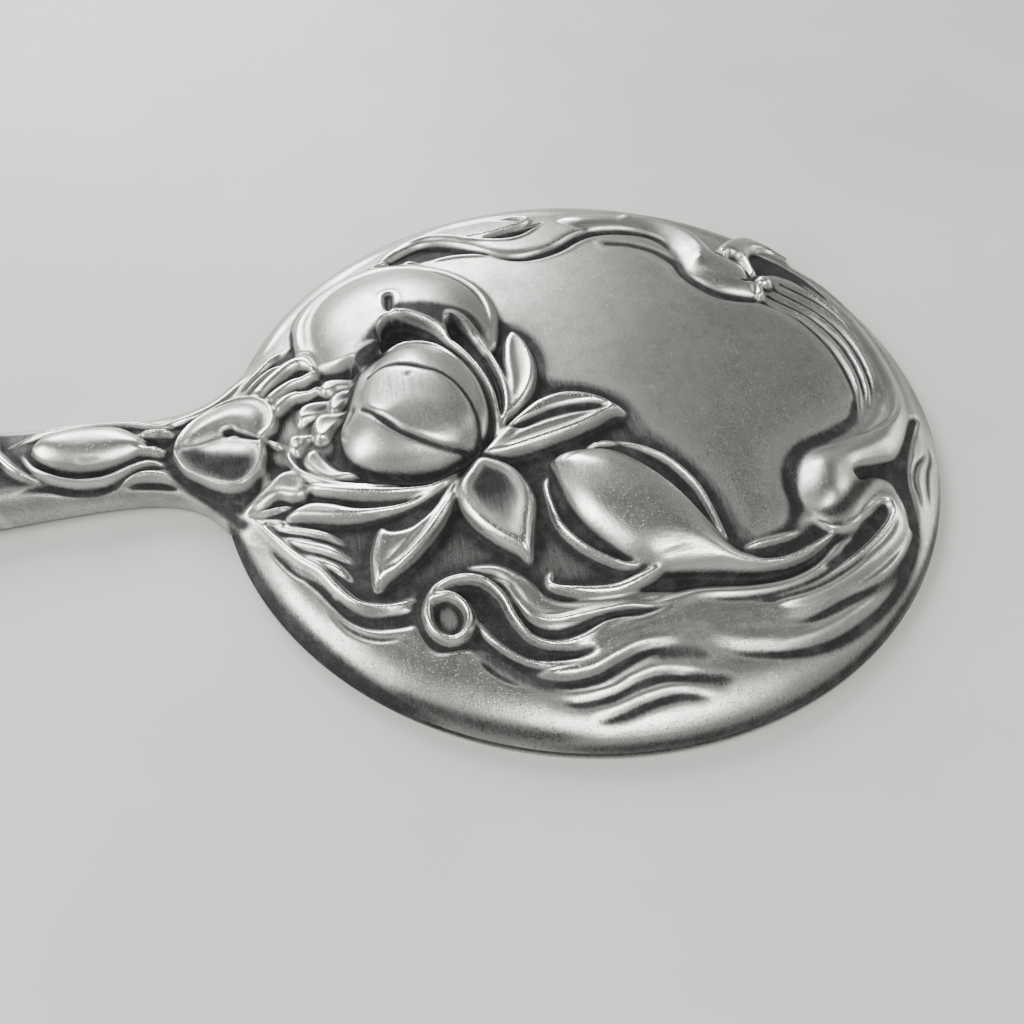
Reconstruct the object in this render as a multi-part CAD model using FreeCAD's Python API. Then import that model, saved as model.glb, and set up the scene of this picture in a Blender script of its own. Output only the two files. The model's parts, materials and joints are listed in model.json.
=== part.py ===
"""Silver hand mirror with a die-struck water-lily back, modelled as the pieces it is assembled from.

Frame: millimetres. The mirror lies on its glass side. The origin is the centre of the round head on the plane
that the front rim rests on, +X runs from the handle to the top of the head, and +Z points out of the chased back.
"""

import FreeCAD
import Part
import math
import os

V = FreeCAD.Vector

# Driving dimensions.
HEAD_RADIUS = 65.0        # outside of the bead round the front rim
SHEET = 0.8               # thickness of the struck silver sheet
SEAM_Z = 1.6              # plane where the back and front shells are soldered together
CROWN = 7.3               # how far the plain dome of the head stands above the seam
DOME_POWER = 4.0          # the dome is nearly flat in the middle and rolls over near the rim
DOME_ROLL = 0.7
FLAT_SHARE = 0.2          # share of the dome's quarter turn that is a flat disc
DOME_START_ANGLE = 29.5
HANDLE_DROP = 1.4         # how far the front half of the handle hangs below the seam
FIT_GAP = 0.05            # clearance left between parts that only touch
PITCH_SHRINK = 0.6        # the pitch filling draws back from the sheet as it sets

GLASS_RADIUS = 61.0
GLASS_FRONT_Z = 0.5       # the glass sits back from the resting plane, so that it isn't scratched
GLASS_THICKNESS = 2.4
BEVEL_WIDTH = 8.0
BEVEL_DEPTH = 1.0
COAT = 0.1                # silvering, and the paint that protects it
BEZEL_WALL = 0.5
BEZEL_LIP = 1.2
BEZEL_TOP_Z = 2.8
BEAD_RADIUS = 0.55
WALL_RADIUS = HEAD_RADIUS - 0.3   # the side wall, just inside the bead
RIM_FLAT_INNER = 61.7

FELT_THICKNESS = 0.6
FELT_RADIUS = 55.0
BOARD_THICKNESS = 1.8
BOARD_RADIUS = 53.0
SEAT_RING_INNER = 55.4
SEAT_RING_OUTER = 57.2
SEAT_RING_HEIGHT = 1.6

BAR_WIDTH = 8.0
BAR_THICKNESS = 1.8
BAR_LOW_Z = 3.3
BAR_HEAD_END = -57.5
BAR_TAIL_END = -168.0
SOLDER_WIDTH = 0.9
SOLDER_HEIGHT = 0.7

# The neck and handle: (station x, half width at the seam, height of the back above the seam).
HANDLE_STATIONS = [
    (-50.0, 26.0, 5.1),
    (-56.0, 23.2, 5.0),
    (-60.0, 20.6, 4.8),
    (-63.0, 17.1, 4.8),
    (-66.0, 13.7, 4.9),
    (-70.0, 11.1, 5.1),
    (-75.0, 9.6, 5.4),
    (-82.0, 9.0, 5.9),
    (-92.0, 9.3, 6.7),
    (-106.0, 10.3, 7.6),
    (-125.0, 11.7, 8.3),
    (-145.0, 12.9, 8.9),
    (-160.0, 13.2, 9.0),
    (-171.0, 11.9, 8.3),
    (-178.0, 8.8, 6.6),
    (-182.0, 4.6, 3.9),
]
HANDLE_TIP = -183.5
SECTION_POINTS = 16
SECTION_POWER = 2.4
SECTION_ROLL = 0.55

# The main raised forms of the relief, as ellipsoids: centre x, y and height above the seam, then half axes along
# the length, across and up, and the angle of the long axis from +X in degrees. The sheet follows these inside
# and out.
BOSSES = {
    "lily": (-29.5, -1.0, 5.8, 16.0, 12.5, 7.2, 115.0),
    "bud": (3.0, -28.5, 4.2, 14.5, 8.5, 5.4, -48.0),
    "lily_pad": (-31.0, 27.0, 3.6, 17.5, 10.5, 6.0, 5.0),
    "neck_pad": (-62.5, -1.5, 3.3, 8.0, 8.0, 5.2, 0.0),
    "volute": (35.0, -28.5, 3.6, 6.5, 6.0, 5.0, 60.0),
    "pod": (-84.0, 0.0, 3.4, 12.0, 6.0, 4.2, 0.0),
    "handle_pad": (-104.5, 0.0, 4.7, 7.0, 6.5, 4.4, 0.0),
    "handle_pod": (-114.5, 0.0, 5.4, 12.0, 6.5, 4.2, 0.0),
    "lower_pad": (-137.0, 0.0, 5.6, 8.0, 7.5, 4.8, 0.0),
    "lower_pod": (-146.0, 0.0, 5.8, 13.0, 7.0, 4.4, 0.0),
    "tip_bud": (-171.0, 0.0, 4.8, 9.0, 6.5, 4.6, 0.0),
}

# The long petals round the lily, in the same form. They are too narrow for the inside of the sheet to follow.
PETALS = {
    "right": (-7.0, -9.0, 5.6, 14.0, 4.6, 3.4, 15.0),
    "upright": (-11.0, 4.0, 5.6, 11.5, 3.0, 3.0, 78.0),
    "down": (-18.5, -25.0, 5.2, 11.0, 5.8, 3.4, -80.0),
    "left": (-32.0, -27.0, 4.6, 12.0, 4.4, 3.2, 48.0),
    "upper_far_left": (-36.0, -17.0, 5.0, 14.0, 2.6, 2.8, -3.0),
    "lower_far_left": (-37.0, -20.8, 4.8, 16.5, 2.4, 2.8, 2.0),
    "cup": (-17.5, 9.0, 5.6, 14.0, 3.4, 3.2, 108.0),
    "sepal": (10.5, -25.0, 4.4, 12.5, 1.8, 2.8, -62.0),
    "lower_sepal": (-8.0, -30.0, 4.4, 10.5, 1.8, 2.8, -68.0),
}

# Ribbons and stems that lie on the dome: the points they pass through, then their half thickness.
RIBBONS = {
    "shore": ([(-57, -20), (-50, -28), (-43, -34), (-36, -38)], 1.4),
    "wave": ([(-20, -52), (-10, -56), (2, -54), (16, -56), (30, -52), (42, -43)], 2.0),
    "swell": ([(-8, -49.5), (6, -48.5), (20, -49), (33, -45), (44, -36)], 2.0),
    "crest": ([(-34, 42), (-27, 49), (-20, 50), (-11, 45.5), (-3, 44.5), (4, 50), (14, 52)], 1.8),
    "curl": ([(20, 50), (28, 46), (33.5, 39), (34, 33), (30, 28)], 1.8),
    "scroll": ([(49, 41), (43, 38), (42, 31), (41.5, 24), (40, 18)], 1.5),
    "fold": ([(47, 22), (54, 14), (56, 2), (54, -10), (46, -19), (37, -23)], 2.4),
    "stem": ([(-12, -40), (-6, -42.4), (3, -40.5), (13, -41.5), (24, -41), (32, -37)], 1.4),
    "tendril": ([(-28, -36.5), (-23, -37.4), (-20, -41), (-17.5, -47), (-12, -49), (-7, -47)], 1.0),
}


def revolve_profile(points):
    """A solid of revolution about Z from a closed outline of (radius, z) points."""
    face = Part.Face(Part.makePolygon([V(r, 0, z) for r, z in points + points[:1]]))
    return face.revolve(V(0, 0, 0), V(0, 0, 1), 360)


def disc(radius, low, height):
    return Part.makeCylinder(radius, height, V(0, 0, low))


def ring(inner, outer, low, height):
    return disc(outer, low, height).cut(disc(inner, low - 1, height + 2))


def dome_height(share, crown):
    """Height of the dome above the seam at a share of its radius from the middle."""
    return crown * max(0.0, 1.0 - share**DOME_POWER) ** DOME_ROLL


def dome(inset):
    """The plain dome of the head above the seam, drawn in from its outside by a sheet thickness."""
    radius = WALL_RADIUS - inset
    crown = CROWN - inset
    # The middle is a flat disc. Beyond it, stations crowd towards the rim, where the curve turns down.
    shares = [math.sin(math.pi / 2 * (FLAT_SHARE + (1 - FLAT_SHARE) * i / 20)) for i in range(21)]
    points = [V(radius * s, 0, SEAM_Z + dome_height(s, crown)) for s in shares]
    curve = Part.BSplineCurve()
    curve.interpolate(points)
    top = V(0, 0, points[0].z)
    foot, edge = V(0, 0, SEAM_Z), V(radius, 0, SEAM_Z)
    lines = [Part.makeLine(foot, top), Part.makeLine(top, points[0]), curve.toShape(), Part.makeLine(edge, foot)]
    solid = Part.Face(Part.Wire(lines)).revolve(V(0, 0, 0), V(0, 0, 1), 360)
    # Turned so that the line where the surface closes on itself misses the relief.
    solid.rotate(V(0, 0, 0), V(0, 0, 1), DOME_START_ANGLE)
    return solid


def handle_section(x, half_width, height):
    """A half section of the handle on the seam plane: a flattened arch closed by its base line."""
    curve = Part.BSplineCurve()
    points = []
    for i in range(SECTION_POINTS + 1):
        share = math.sin(math.pi * (i / SECTION_POINTS - 0.5))
        rise = max(0.0, 1.0 - abs(share) ** SECTION_POWER) ** SECTION_ROLL
        points.append(V(x, share * half_width, SEAM_Z + rise * height))
    curve.interpolate(points)
    return Part.Wire([curve.toShape(), Part.makeLine(points[-1], points[0])])


def handle(inset, upward=True):
    """The back half of the handle and neck above the seam, or the shallow front half below it."""
    sections = []
    for x, half_width, height in HANDLE_STATIONS:
        rise = height - inset if upward else inset - HANDLE_DROP * min(1.0, half_width / 9.0)
        sections.append(handle_section(x, half_width - inset, rise))
    end_rise = 0.4 if upward else -0.4
    sections.append(handle_section(HANDLE_TIP + inset, 1.0, end_rise))
    return Part.makeLoft(sections, True, False)


def boss(x, y, z, length, width, height, angle, inset):
    """An ellipsoid half axes length, width, height, turned about Z."""
    ball = Part.makeSphere(1.0)
    matrix = FreeCAD.Matrix()
    matrix.scale(length - inset, width - inset, height - inset)
    matrix.rotateZ(math.radians(angle))
    matrix.move(V(x, y, SEAM_Z + z))
    return ball.transformGeometry(matrix)


def below_seam():
    return Part.makeBox(400, 200, 60, V(-250, -100, SEAM_Z - 60))


def back_form(inset):
    """The whole raised form of the back above the seam: dome, handle and the main bosses of the relief."""
    form = dome(inset).fuse(handle(inset))
    for size in BOSSES.values():
        form = form.fuse(boss(*size, inset))
    return form.cut(below_seam())


def ribbon(points, radius):
    """A round ribbon half sunk in the dome, with rounded ends."""
    on_dome = []
    for x, y in points:
        share = math.hypot(x, y) / WALL_RADIUS
        on_dome.append(V(x, y, SEAM_Z + dome_height(share, CROWN)))
    curve = Part.BSplineCurve()
    curve.interpolate(on_dome)
    start_direction = curve.tangent(curve.FirstParameter)[0]
    section = Part.Wire(Part.makeCircle(radius, on_dome[0], start_direction))
    tube = Part.Wire(curve.toShape()).makePipeShell([section], True, True)
    for end in (on_dome[0], on_dome[-1]):
        tube = tube.fuse(Part.makeSphere(radius, end))
    return tube


def front_form(inset):
    """The front half of the handle below the seam, stopping where the head's rim begins."""
    form = handle(inset, upward=False)
    return form.cut(disc(WALL_RADIUS, -10, 40))


def back_shell():
    form = back_form(0.0)
    for size in PETALS.values():
        form = form.fuse(boss(*size, 0.0))
    for points, radius in RIBBONS.values():
        form = form.fuse(ribbon(points, radius))
    return form.cut(below_seam()).cut(back_form(SHEET))


def front_shell():
    """The front stamping: the flat rim round the glass, its bead, the wall up to the seam and the handle front."""
    outer = WALL_RADIUS
    wall = ring(outer - SHEET, outer, 0.0, SEAM_Z)
    flat = ring(RIM_FLAT_INNER, outer, 0.0, SHEET)
    bead = Part.makeTorus(HEAD_RADIUS - BEAD_RADIUS, BEAD_RADIUS, V(0, 0, BEAD_RADIUS))
    rim = wall.fuse(flat).fuse(bead)
    half_handle = front_form(0.0).cut(front_form(SHEET))
    return rim.fuse(half_handle).removeSplitter()


def bezel_ring():
    """A thin silver strip inside the rim, with its lip burnished down onto the bevel of the glass."""
    outer = RIM_FLAT_INNER - FIT_GAP
    inner = outer - BEZEL_WALL
    glass_edge_z = GLASS_FRONT_Z + BEVEL_DEPTH
    slope = BEVEL_DEPTH / BEVEL_WIDTH
    lip_z = glass_edge_z - FIT_GAP
    tip = GLASS_RADIUS - BEZEL_LIP
    tip_z = lip_z - slope * BEZEL_LIP
    points = [
        (outer, 0.2),
        (outer, BEZEL_TOP_Z),
        (inner, BEZEL_TOP_Z),
        (inner, lip_z),
        (tip, tip_z),
        (tip, tip_z - 0.5),
        (inner, 0.2),
    ]
    return revolve_profile(points)


def mirror_glass():
    """Plate glass with a ground bevel round its front face."""
    back = GLASS_FRONT_Z + GLASS_THICKNESS
    points = [
        (0, GLASS_FRONT_Z),
        (GLASS_RADIUS - BEVEL_WIDTH, GLASS_FRONT_Z),
        (GLASS_RADIUS, GLASS_FRONT_Z + BEVEL_DEPTH),
        (GLASS_RADIUS, back),
        (0, back),
    ]
    return revolve_profile(points)


def stack():
    """The discs behind the glass, from the silvering up to the board: (name, radius, low z, height)."""
    z = GLASS_FRONT_Z + GLASS_THICKNESS
    layers = []
    for name, radius, height in (
        ("silvering", GLASS_RADIUS - 0.2, COAT),
        ("backing_paint", GLASS_RADIUS - 0.2, COAT),
        ("felt_pad", FELT_RADIUS, FELT_THICKNESS),
        ("backing_board", BOARD_RADIUS, BOARD_THICKNESS),
    ):
        layers.append((name, radius, z, height))
        z += height
    return layers


def seat_ring():
    """A flat wire ring soldered inside the back, against which the glass is bedded."""
    low = GLASS_FRONT_Z + GLASS_THICKNESS + 2 * COAT
    return ring(SEAT_RING_INNER, SEAT_RING_OUTER, low, SEAT_RING_HEIGHT)


def stiffener_bar():
    """A flat steel bar the length of the handle, with rounded ends, that stiffens the neck."""
    half = BAR_WIDTH / 2
    bar = Part.makeBox(BAR_HEAD_END - BAR_TAIL_END - BAR_WIDTH, BAR_WIDTH, BAR_THICKNESS,
                       V(BAR_TAIL_END + half, -half, BAR_LOW_Z))
    for x in (BAR_TAIL_END + half, BAR_HEAD_END - half):
        bar = bar.fuse(Part.makeCylinder(half, BAR_THICKNESS, V(x, 0, BAR_LOW_Z)))
    return bar.removeSplitter()


def fillers():
    """The pitch cast behind the relief, and the pitch cast into the handle round the stiffener bar."""
    _, _, board_low, board_height = stack()[-1]
    floor_z = board_low + board_height + FIT_GAP
    split_x = -(WALL_RADIUS - SHEET - 1.0)
    cavity = back_form(SHEET + PITCH_SHRINK)
    bar = stiffener_bar()
    head_zone = Part.makeBox(150, 200, 60, V(split_x + 4.0, -100, floor_z))
    handle_zone = Part.makeBox(150, 200, 60, V(split_x - 4.0 - 150, -100, -20))
    head = cavity.common(head_zone).common(disc(BOARD_RADIUS, 0, 60))
    tail = cavity.common(handle_zone).cut(bar)
    return head, tail


def seam_solder():
    """The bead of solder run round inside the front wall, just under the seam."""
    wall = WALL_RADIUS - SHEET
    return ring(wall - SOLDER_WIDTH, wall, SEAM_Z - SOLDER_HEIGHT, SOLDER_HEIGHT)


def largest_solid(shape):
    return max(shape.Solids, key=lambda s: s.Volume)


def main():
    os.makedirs("parts", exist_ok=True)
    head_filler, handle_filler = fillers()
    parts = {
        "back_shell": back_shell(),
        "front_shell": front_shell(),
        "bezel_ring": bezel_ring(),
        "mirror_glass": mirror_glass(),
        "seat_ring": seat_ring(),
        "stiffener_bar": stiffener_bar(),
        "head_filler": head_filler,
        "handle_filler": handle_filler,
        "seam_solder": seam_solder(),
    }
    for name, radius, low, height in stack():
        parts[name] = disc(radius, low, height)
    for name, shape in sorted(parts.items()):
        solid = largest_solid(shape)
        print(name, "solids", len(shape.Solids), "volume", round(solid.Volume, 1), "valid", solid.isValid(),
              "box", [round(v, 1) for v in (solid.BoundBox.XMin, solid.BoundBox.XMax, solid.BoundBox.YMax,
                                             solid.BoundBox.ZMin, solid.BoundBox.ZMax)])
        solid.exportStep(f"parts/{name}.step")


main()
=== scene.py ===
"""Looks for the chased silver hand mirror: its water-lily back, plain front, glass and fittings.

Relief is worked out in millimetres on a fine raster over the back, then carried by the meshes in metres.
Frame: origin at the centre of the round head on the resting plane, +X to the top of the head, +Z up out of
the back, and the handle along -X.
"""

import json
import math

import bpy
import numpy as np
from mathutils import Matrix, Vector
from mathutils.bvhtree import BVHTree


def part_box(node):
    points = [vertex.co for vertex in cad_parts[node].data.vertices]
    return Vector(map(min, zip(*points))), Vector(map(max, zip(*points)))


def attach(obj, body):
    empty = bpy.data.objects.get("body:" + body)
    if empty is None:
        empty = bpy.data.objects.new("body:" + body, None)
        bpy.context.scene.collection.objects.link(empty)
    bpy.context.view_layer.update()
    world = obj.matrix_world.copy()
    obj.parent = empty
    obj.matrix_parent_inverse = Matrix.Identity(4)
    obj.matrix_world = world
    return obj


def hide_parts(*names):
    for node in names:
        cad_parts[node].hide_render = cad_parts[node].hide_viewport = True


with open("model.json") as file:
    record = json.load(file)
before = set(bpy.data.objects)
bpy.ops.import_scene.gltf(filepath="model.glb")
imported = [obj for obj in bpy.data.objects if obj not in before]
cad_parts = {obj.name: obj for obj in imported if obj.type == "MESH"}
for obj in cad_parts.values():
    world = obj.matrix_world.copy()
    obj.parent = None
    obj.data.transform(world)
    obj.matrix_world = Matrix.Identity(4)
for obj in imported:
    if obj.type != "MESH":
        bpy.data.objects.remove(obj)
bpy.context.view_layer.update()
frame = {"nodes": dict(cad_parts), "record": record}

MM = 0.001


def cad_span(node):
    """Lowest and highest corner of a CAD node, in millimetres."""
    low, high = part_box(node)
    return np.array(low) / MM, np.array(high) / MM


back_low, back_high = cad_span("back_shell")
RIM_RADIUS = back_high[0]                 # outline of the back where it meets the front shell
SEAM_Z = back_low[2]
TIP_X = back_low[0]
BEAD_REACH = cad_span("front_shell")[1][0]
GLASS_RADIUS = cad_span("mirror_glass")[1][0]
BOARD_TOP = cad_span("backing_board")[1][2]

CROWN = 7.3                # height of the plain dome above the seam
DOME_POWER = 4.0           # the higher, the flatter the dome is before it rolls over
DOME_ROLL = 0.7

# The handle: station x, half width, height of the back above the seam.
STATIONS = np.array([
    (-50.0, 26.0, 5.1), (-56.0, 23.2, 5.0), (-60.0, 20.6, 4.8), (-63.0, 17.1, 4.8), (-66.0, 13.7, 4.9),
    (-70.0, 11.1, 5.1), (-75.0, 9.6, 5.4), (-82.0, 9.0, 5.9), (-92.0, 9.3, 6.7), (-106.0, 10.3, 7.6),
    (-125.0, 11.7, 8.3), (-145.0, 12.9, 8.9), (-160.0, 13.2, 9.0), (-171.0, 11.9, 8.3),
])
CAP_X, CAP_WIDTH, CAP_HEIGHT = STATIONS[-1]
CAP_LENGTH = CAP_X - TIP_X
SECTION_POWER = 2.4        # the handle's cross section: nearly flat on top, rolling over at its sides
SECTION_ROLL = 0.55
NECK_X, NECK_WIDTH = STATIONS[3, :2]    # where the handle's sides come clear of the head
NECK_HALF = 19.3           # the handle's sheet leaves the head across this much either side of the middle
FILLET = 0.25              # extra metal where the dome and the handle run together
FILLET_REACH = 1.5
FRONT_DROP = 1.4           # depth of the handle's front below the seam
FULL_WIDTH = 9.0           # half width from which the front has its full depth
SEAM_GAP = 0.02
CLEARANCE = 0.25           # between the sheet and what lies behind it


def smooth(values):
    """Smooth step from 0 to 1."""
    t = np.clip(values, 0.0, 1.0)
    return t * t * (3 - 2 * t)


def spline(points, closed=False, steps=8):
    """Points of a Catmull-Rom curve through the given points."""
    p = np.array(points, float)
    if closed:
        p = np.vstack([p[-1], p, p[0], p[1]])
    else:
        p = np.vstack([2 * p[0] - p[1], p, 2 * p[-1] - p[-2]])
    t = np.linspace(0, 1, steps, endpoint=False)[:, None]
    pieces = []
    for a, b, c, d in zip(p[:-3], p[1:-2], p[2:-1], p[3:]):
        pieces.append(0.5 * (2 * b + (c - a) * t + (2 * a - 5 * b + 4 * c - d) * t**2
                             + (3 * b - a - 3 * c + d) * t**3))
    curve = np.vstack(pieces)
    return np.vstack([curve, curve[0] if closed else p[-2]])


station_curve = spline(STATIONS, steps=10)[::-1]


def half_width(x):
    """Half the handle's width at each station, run out to nothing round its tip."""
    inner = np.interp(x, station_curve[:, 0], station_curve[:, 1])
    past = np.clip((CAP_X - x) / CAP_LENGTH, 0, 1)
    return np.where(x < CAP_X, CAP_WIDTH * np.sqrt(1 - past**2), inner)


def handle_height(x):
    """Height of the back of the handle above the seam, along its middle."""
    inner = np.interp(x, station_curve[:, 0], station_curve[:, 2])
    past = np.clip((CAP_X - x) / CAP_LENGTH, 0, 1)
    return np.where(x < CAP_X, CAP_HEIGHT * (1 - past**SECTION_POWER) ** 0.5, inner)


def section(x, y):
    """Share of the handle's full height at a point across it."""
    share = np.abs(y) / np.maximum(half_width(x), 1e-6)
    return np.clip(1 - share**SECTION_POWER, 0, 1) ** SECTION_ROLL


def base_height(x, y):
    """The plain form of the back: a dome that rolls over at the rim, blended into the arched handle."""
    radius = np.hypot(x, y) / RIM_RADIUS
    dome = CROWN * np.clip(1 - radius**DOME_POWER, 0, 1) ** DOME_ROLL
    handle = np.where(x < STATIONS[0, 0], handle_height(x) * section(x, y), 0.0)
    top, low = np.maximum(dome, handle), np.minimum(dome, handle)
    fillet = FILLET * np.exp(-(top - low) * FILLET_REACH) * np.minimum(1, low)
    return SEAM_Z + top + fillet


# ---- The relief raster -------------------------------------------------------------------------------

PITCH = 0.25
grid_x = np.arange(TIP_X - 1, RIM_RADIUS + 1, PITCH)
grid_y = np.arange(-RIM_RADIUS - 1, RIM_RADIUS + 1, PITCH)


def gaussian(field, sigma_mm):
    """A Gaussian blur of the raster along both axes."""
    sigma = sigma_mm / PITCH
    reach = int(3 * sigma) + 1
    kernel = np.exp(-0.5 * (np.arange(-reach, reach + 1) / sigma) ** 2)
    kernel /= kernel.sum()
    for axis in (0, 1):
        padded = np.pad(field, [(reach, reach) if a == axis else (0, 0) for a in (0, 1)], mode="edge")
        total = np.zeros_like(field)
        for i, weight in enumerate(kernel):
            window = [slice(None), slice(None)]
            window[axis] = slice(i, i + field.shape[axis])
            total += weight * padded[tuple(window)]
        field = total
    return field


HEART = (-20.5, -14.5)     # where the lily's petals meet
LINE_STRIKE = 0.7          # what the strike kept of the heights given: for ridges,
PETAL_STRIKE = 0.8         # for petals,
FURROW_STRIKE = 0.8        # and for grooves
WAVE_DARK = 0.9            # tarnish in the crease under a wave
DISH = 0.5                 # how far a petal sinks inside its rolled edge, as a share of its swell
DEEPEST = 1.2              # the most that any hollow sinks below the plain form
SHALLOWEST = 0.35          # and the least it may, where there is little room behind


class Relief:
    """Height above the plain form, and darkness from 0 (bright) to 1 (black), over the raster: oxidised
    hollows, with painted shade in a few places.
    """

    def __init__(self):
        self.x, self.y = np.meshgrid(grid_x, grid_y, indexing="ij")
        self.rise = np.zeros_like(self.x)
        self.tarnish_and_shade = np.zeros_like(self.x)
        self.left_dark = np.zeros_like(self.x)

    def window(self, curve, margin):
        """The slice of the raster that a curve and its margin take up."""
        low, high = curve.min(0) - margin, curve.max(0) + margin
        i = slice(*np.searchsorted(grid_x, (low[0], high[0])))
        j = slice(*np.searchsorted(grid_y, (low[1], high[1])))
        return i, j

    def to_curve(self, w, curve):
        """Distance to a curve over a window, how far along it the nearest point is, and which side."""
        x, y = self.x[w], self.y[w]
        best = np.full(x.shape, 1e9)
        along = np.zeros(x.shape)
        side = np.ones(x.shape)
        steps = np.diff(curve, axis=0)
        lengths = np.hypot(*steps.T)
        starts = np.concatenate([[0], np.cumsum(lengths)])
        for a, step, length, start in zip(curve, steps, lengths, starts):
            if length < 1e-9:
                continue
            px, py = x - a[0], y - a[1]
            t = np.clip((px * step[0] + py * step[1]) / length**2, 0, 1)
            dx, dy = px - t * step[0], py - t * step[1]
            d = dx * dx + dy * dy
            nearer = d < best
            best = np.where(nearer, d, best)
            along = np.where(nearer, (start + t * length) / starts[-1], along)
            side = np.where(nearer, np.sign(step[0] * py - step[1] * px), side)
        return np.sqrt(best), along, side

    def signed(self, w, outline):
        """Distance inside a closed outline, negative outside it."""
        x, y = self.x[w], self.y[w]
        inside = np.zeros(x.shape, bool)
        for (ax, ay), (bx, by) in zip(outline[:-1], outline[1:]):
            if ay == by:
                continue
            crosses = (ay > y) != (by > y)
            inside ^= crosses & (x < (bx - ax) * (y - ay) / (by - ay) + ax)
        d = self.to_curve(w, outline)[0]
        return np.where(inside, d, -d)

    def blend(self, w, mask, rise, tarnish_and_shade):
        """Lays a form over what is there."""
        self.rise[w] = self.rise[w] * (1 - mask) + rise * mask
        self.tarnish_and_shade[w] = self.tarnish_and_shade[w] * (1 - mask) + tarnish_and_shade * mask
        self.left_dark[w] *= 1 - mask

    def ground(self, points, level, tarnish_and_shade, edge=1.0):
        """Sets an area to a level, easing in over its edge."""
        outline = spline(points, closed=True)
        w = self.window(outline, edge + 1)
        mask = smooth(self.signed(w, outline) / edge + 0.5)
        self.blend(w, mask, level, tarnish_and_shade)

    def pillow(self, points, level, swell, edge=None, tarnish_and_shade=0.0, power=0.6, edge_tarnish=0.0, soft=1.0,
               melt=0.0):
        """A rounded form inside an outline, laid over what is there, with its crest softened by melt."""
        outline = spline(points, closed=True)
        w = self.window(outline, 1.5 + 2 * melt)
        d = self.signed(w, outline)
        t = np.clip(d / (edge or d.max()), 0, 1)
        rise = level + swell * np.clip(1 - (1 - t) ** 2, 0, 1) ** power
        if melt:
            rise = gaussian(rise, melt)
        mask = smooth(d / soft + 0.5)
        dark = tarnish_and_shade + (edge_tarnish - tarnish_and_shade) * np.exp(-np.clip(d, 0, None) / 0.5)
        self.blend(w, mask, rise, np.clip(dark, 0, 1))

    def petal(self, points, level, swell, rim=1.4, hollow=0.5, tarnish_and_shade=0.0, dark_from=None,
              dark_reach=10.0, dip=0.0):
        """A dished petal with a rolled edge, darker towards dark_from, where it dips under the others."""
        outline = spline(points, closed=True)
        w = self.window(outline, 1.5)
        d = self.signed(w, outline)
        flank = 1 - (1 - np.clip(d / (0.75 * rim), 0, 1)) ** 2
        dish = (1 - hollow) * DISH * smooth((d - 0.5 * rim) / (1.9 * rim))
        rise = gaussian(level + swell * PETAL_STRIKE * (flank - dish), 0.35)
        inner = smooth((d - rim * 0.9) / (rim * 0.6))
        dark = inner * tarnish_and_shade
        if dark_from is not None:
            away = np.hypot(self.x[w] - dark_from[0], self.y[w] - dark_from[1])
            near = np.clip(1.25 - away / dark_reach, 0, 1)
            dark = dark * near
            rise = rise - dip * swell * near
        root = np.hypot(self.x[w] - HEART[0], self.y[w] - HEART[1])
        dark = np.maximum(dark, 0.8 * np.clip(1.3 - root / 5.0, 0, 1))
        self.blend(w, smooth(d / 0.8 + 0.5), rise, dark)

    def ridge(self, points, width, swell, level=0.0, taper="both", sides=0.0, power=0.9):
        """A rounded ribbon along a curve, never lower than what it crosses, dark at its sides if asked."""
        curve = spline(points)
        w = self.window(curve, width + 2.5)
        d, along, _ = self.to_curve(w, curve)
        size = taper_share(along, taper)
        half = np.maximum(width / 2 * size, 0.05)
        round_top = np.clip(1 - (d / half) ** 2, 0, 1) ** power
        crest = level + swell * LINE_STRIKE * np.minimum(1, size * 1.2) * round_top
        over = smooth((half - d) / 0.5 + 0.5)
        lifted = np.maximum(self.rise[w], crest)
        bank = sides * size * np.exp(-((np.abs(d - half) / 0.7) ** 2)) * (d > half)
        self.tarnish_and_shade[w] = np.clip(np.maximum(self.tarnish_and_shade[w] * (1 - over), bank), 0, 1)
        self.rise[w] = self.rise[w] * (1 - over) + lifted * over
        self.left_dark[w] *= 1 - over

    def groove(self, points, width, depth, tarnish_and_shade=0.8, taper="both", fuzz=0.0, lip=0.25):
        """A tarnished furrow along a curve, with the metal it displaced raised softly at its sides; given no
        depth, it only lays a dark band, as for the painted shade along the rim.
        """
        curve = spline(points)
        w = self.window(curve, width * 2 + 2)
        d, along, _ = self.to_curve(w, curve)
        size = taper_share(along, taper)
        half = np.maximum(width / 2 * size, 0.04)
        cut = np.exp(-((d / half) ** 2)) - lip * np.exp(-(((d - 2.2 * half) / (0.9 * half)) ** 2))
        stain_and_shade = np.exp(-((d / (half * (1.15 + fuzz))) ** (2 if fuzz else 4))) * np.minimum(1, size * 1.4)
        self.rise[w] -= depth * FURROW_STRIKE * cut * np.minimum(1, size * 1.3)
        self.tarnish_and_shade[w] = np.maximum(self.tarnish_and_shade[w], tarnish_and_shade * stain_and_shade)
        self.left_dark[w] = np.maximum(self.left_dark[w], 0.85 * tarnish_and_shade * stain_and_shade)

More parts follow.
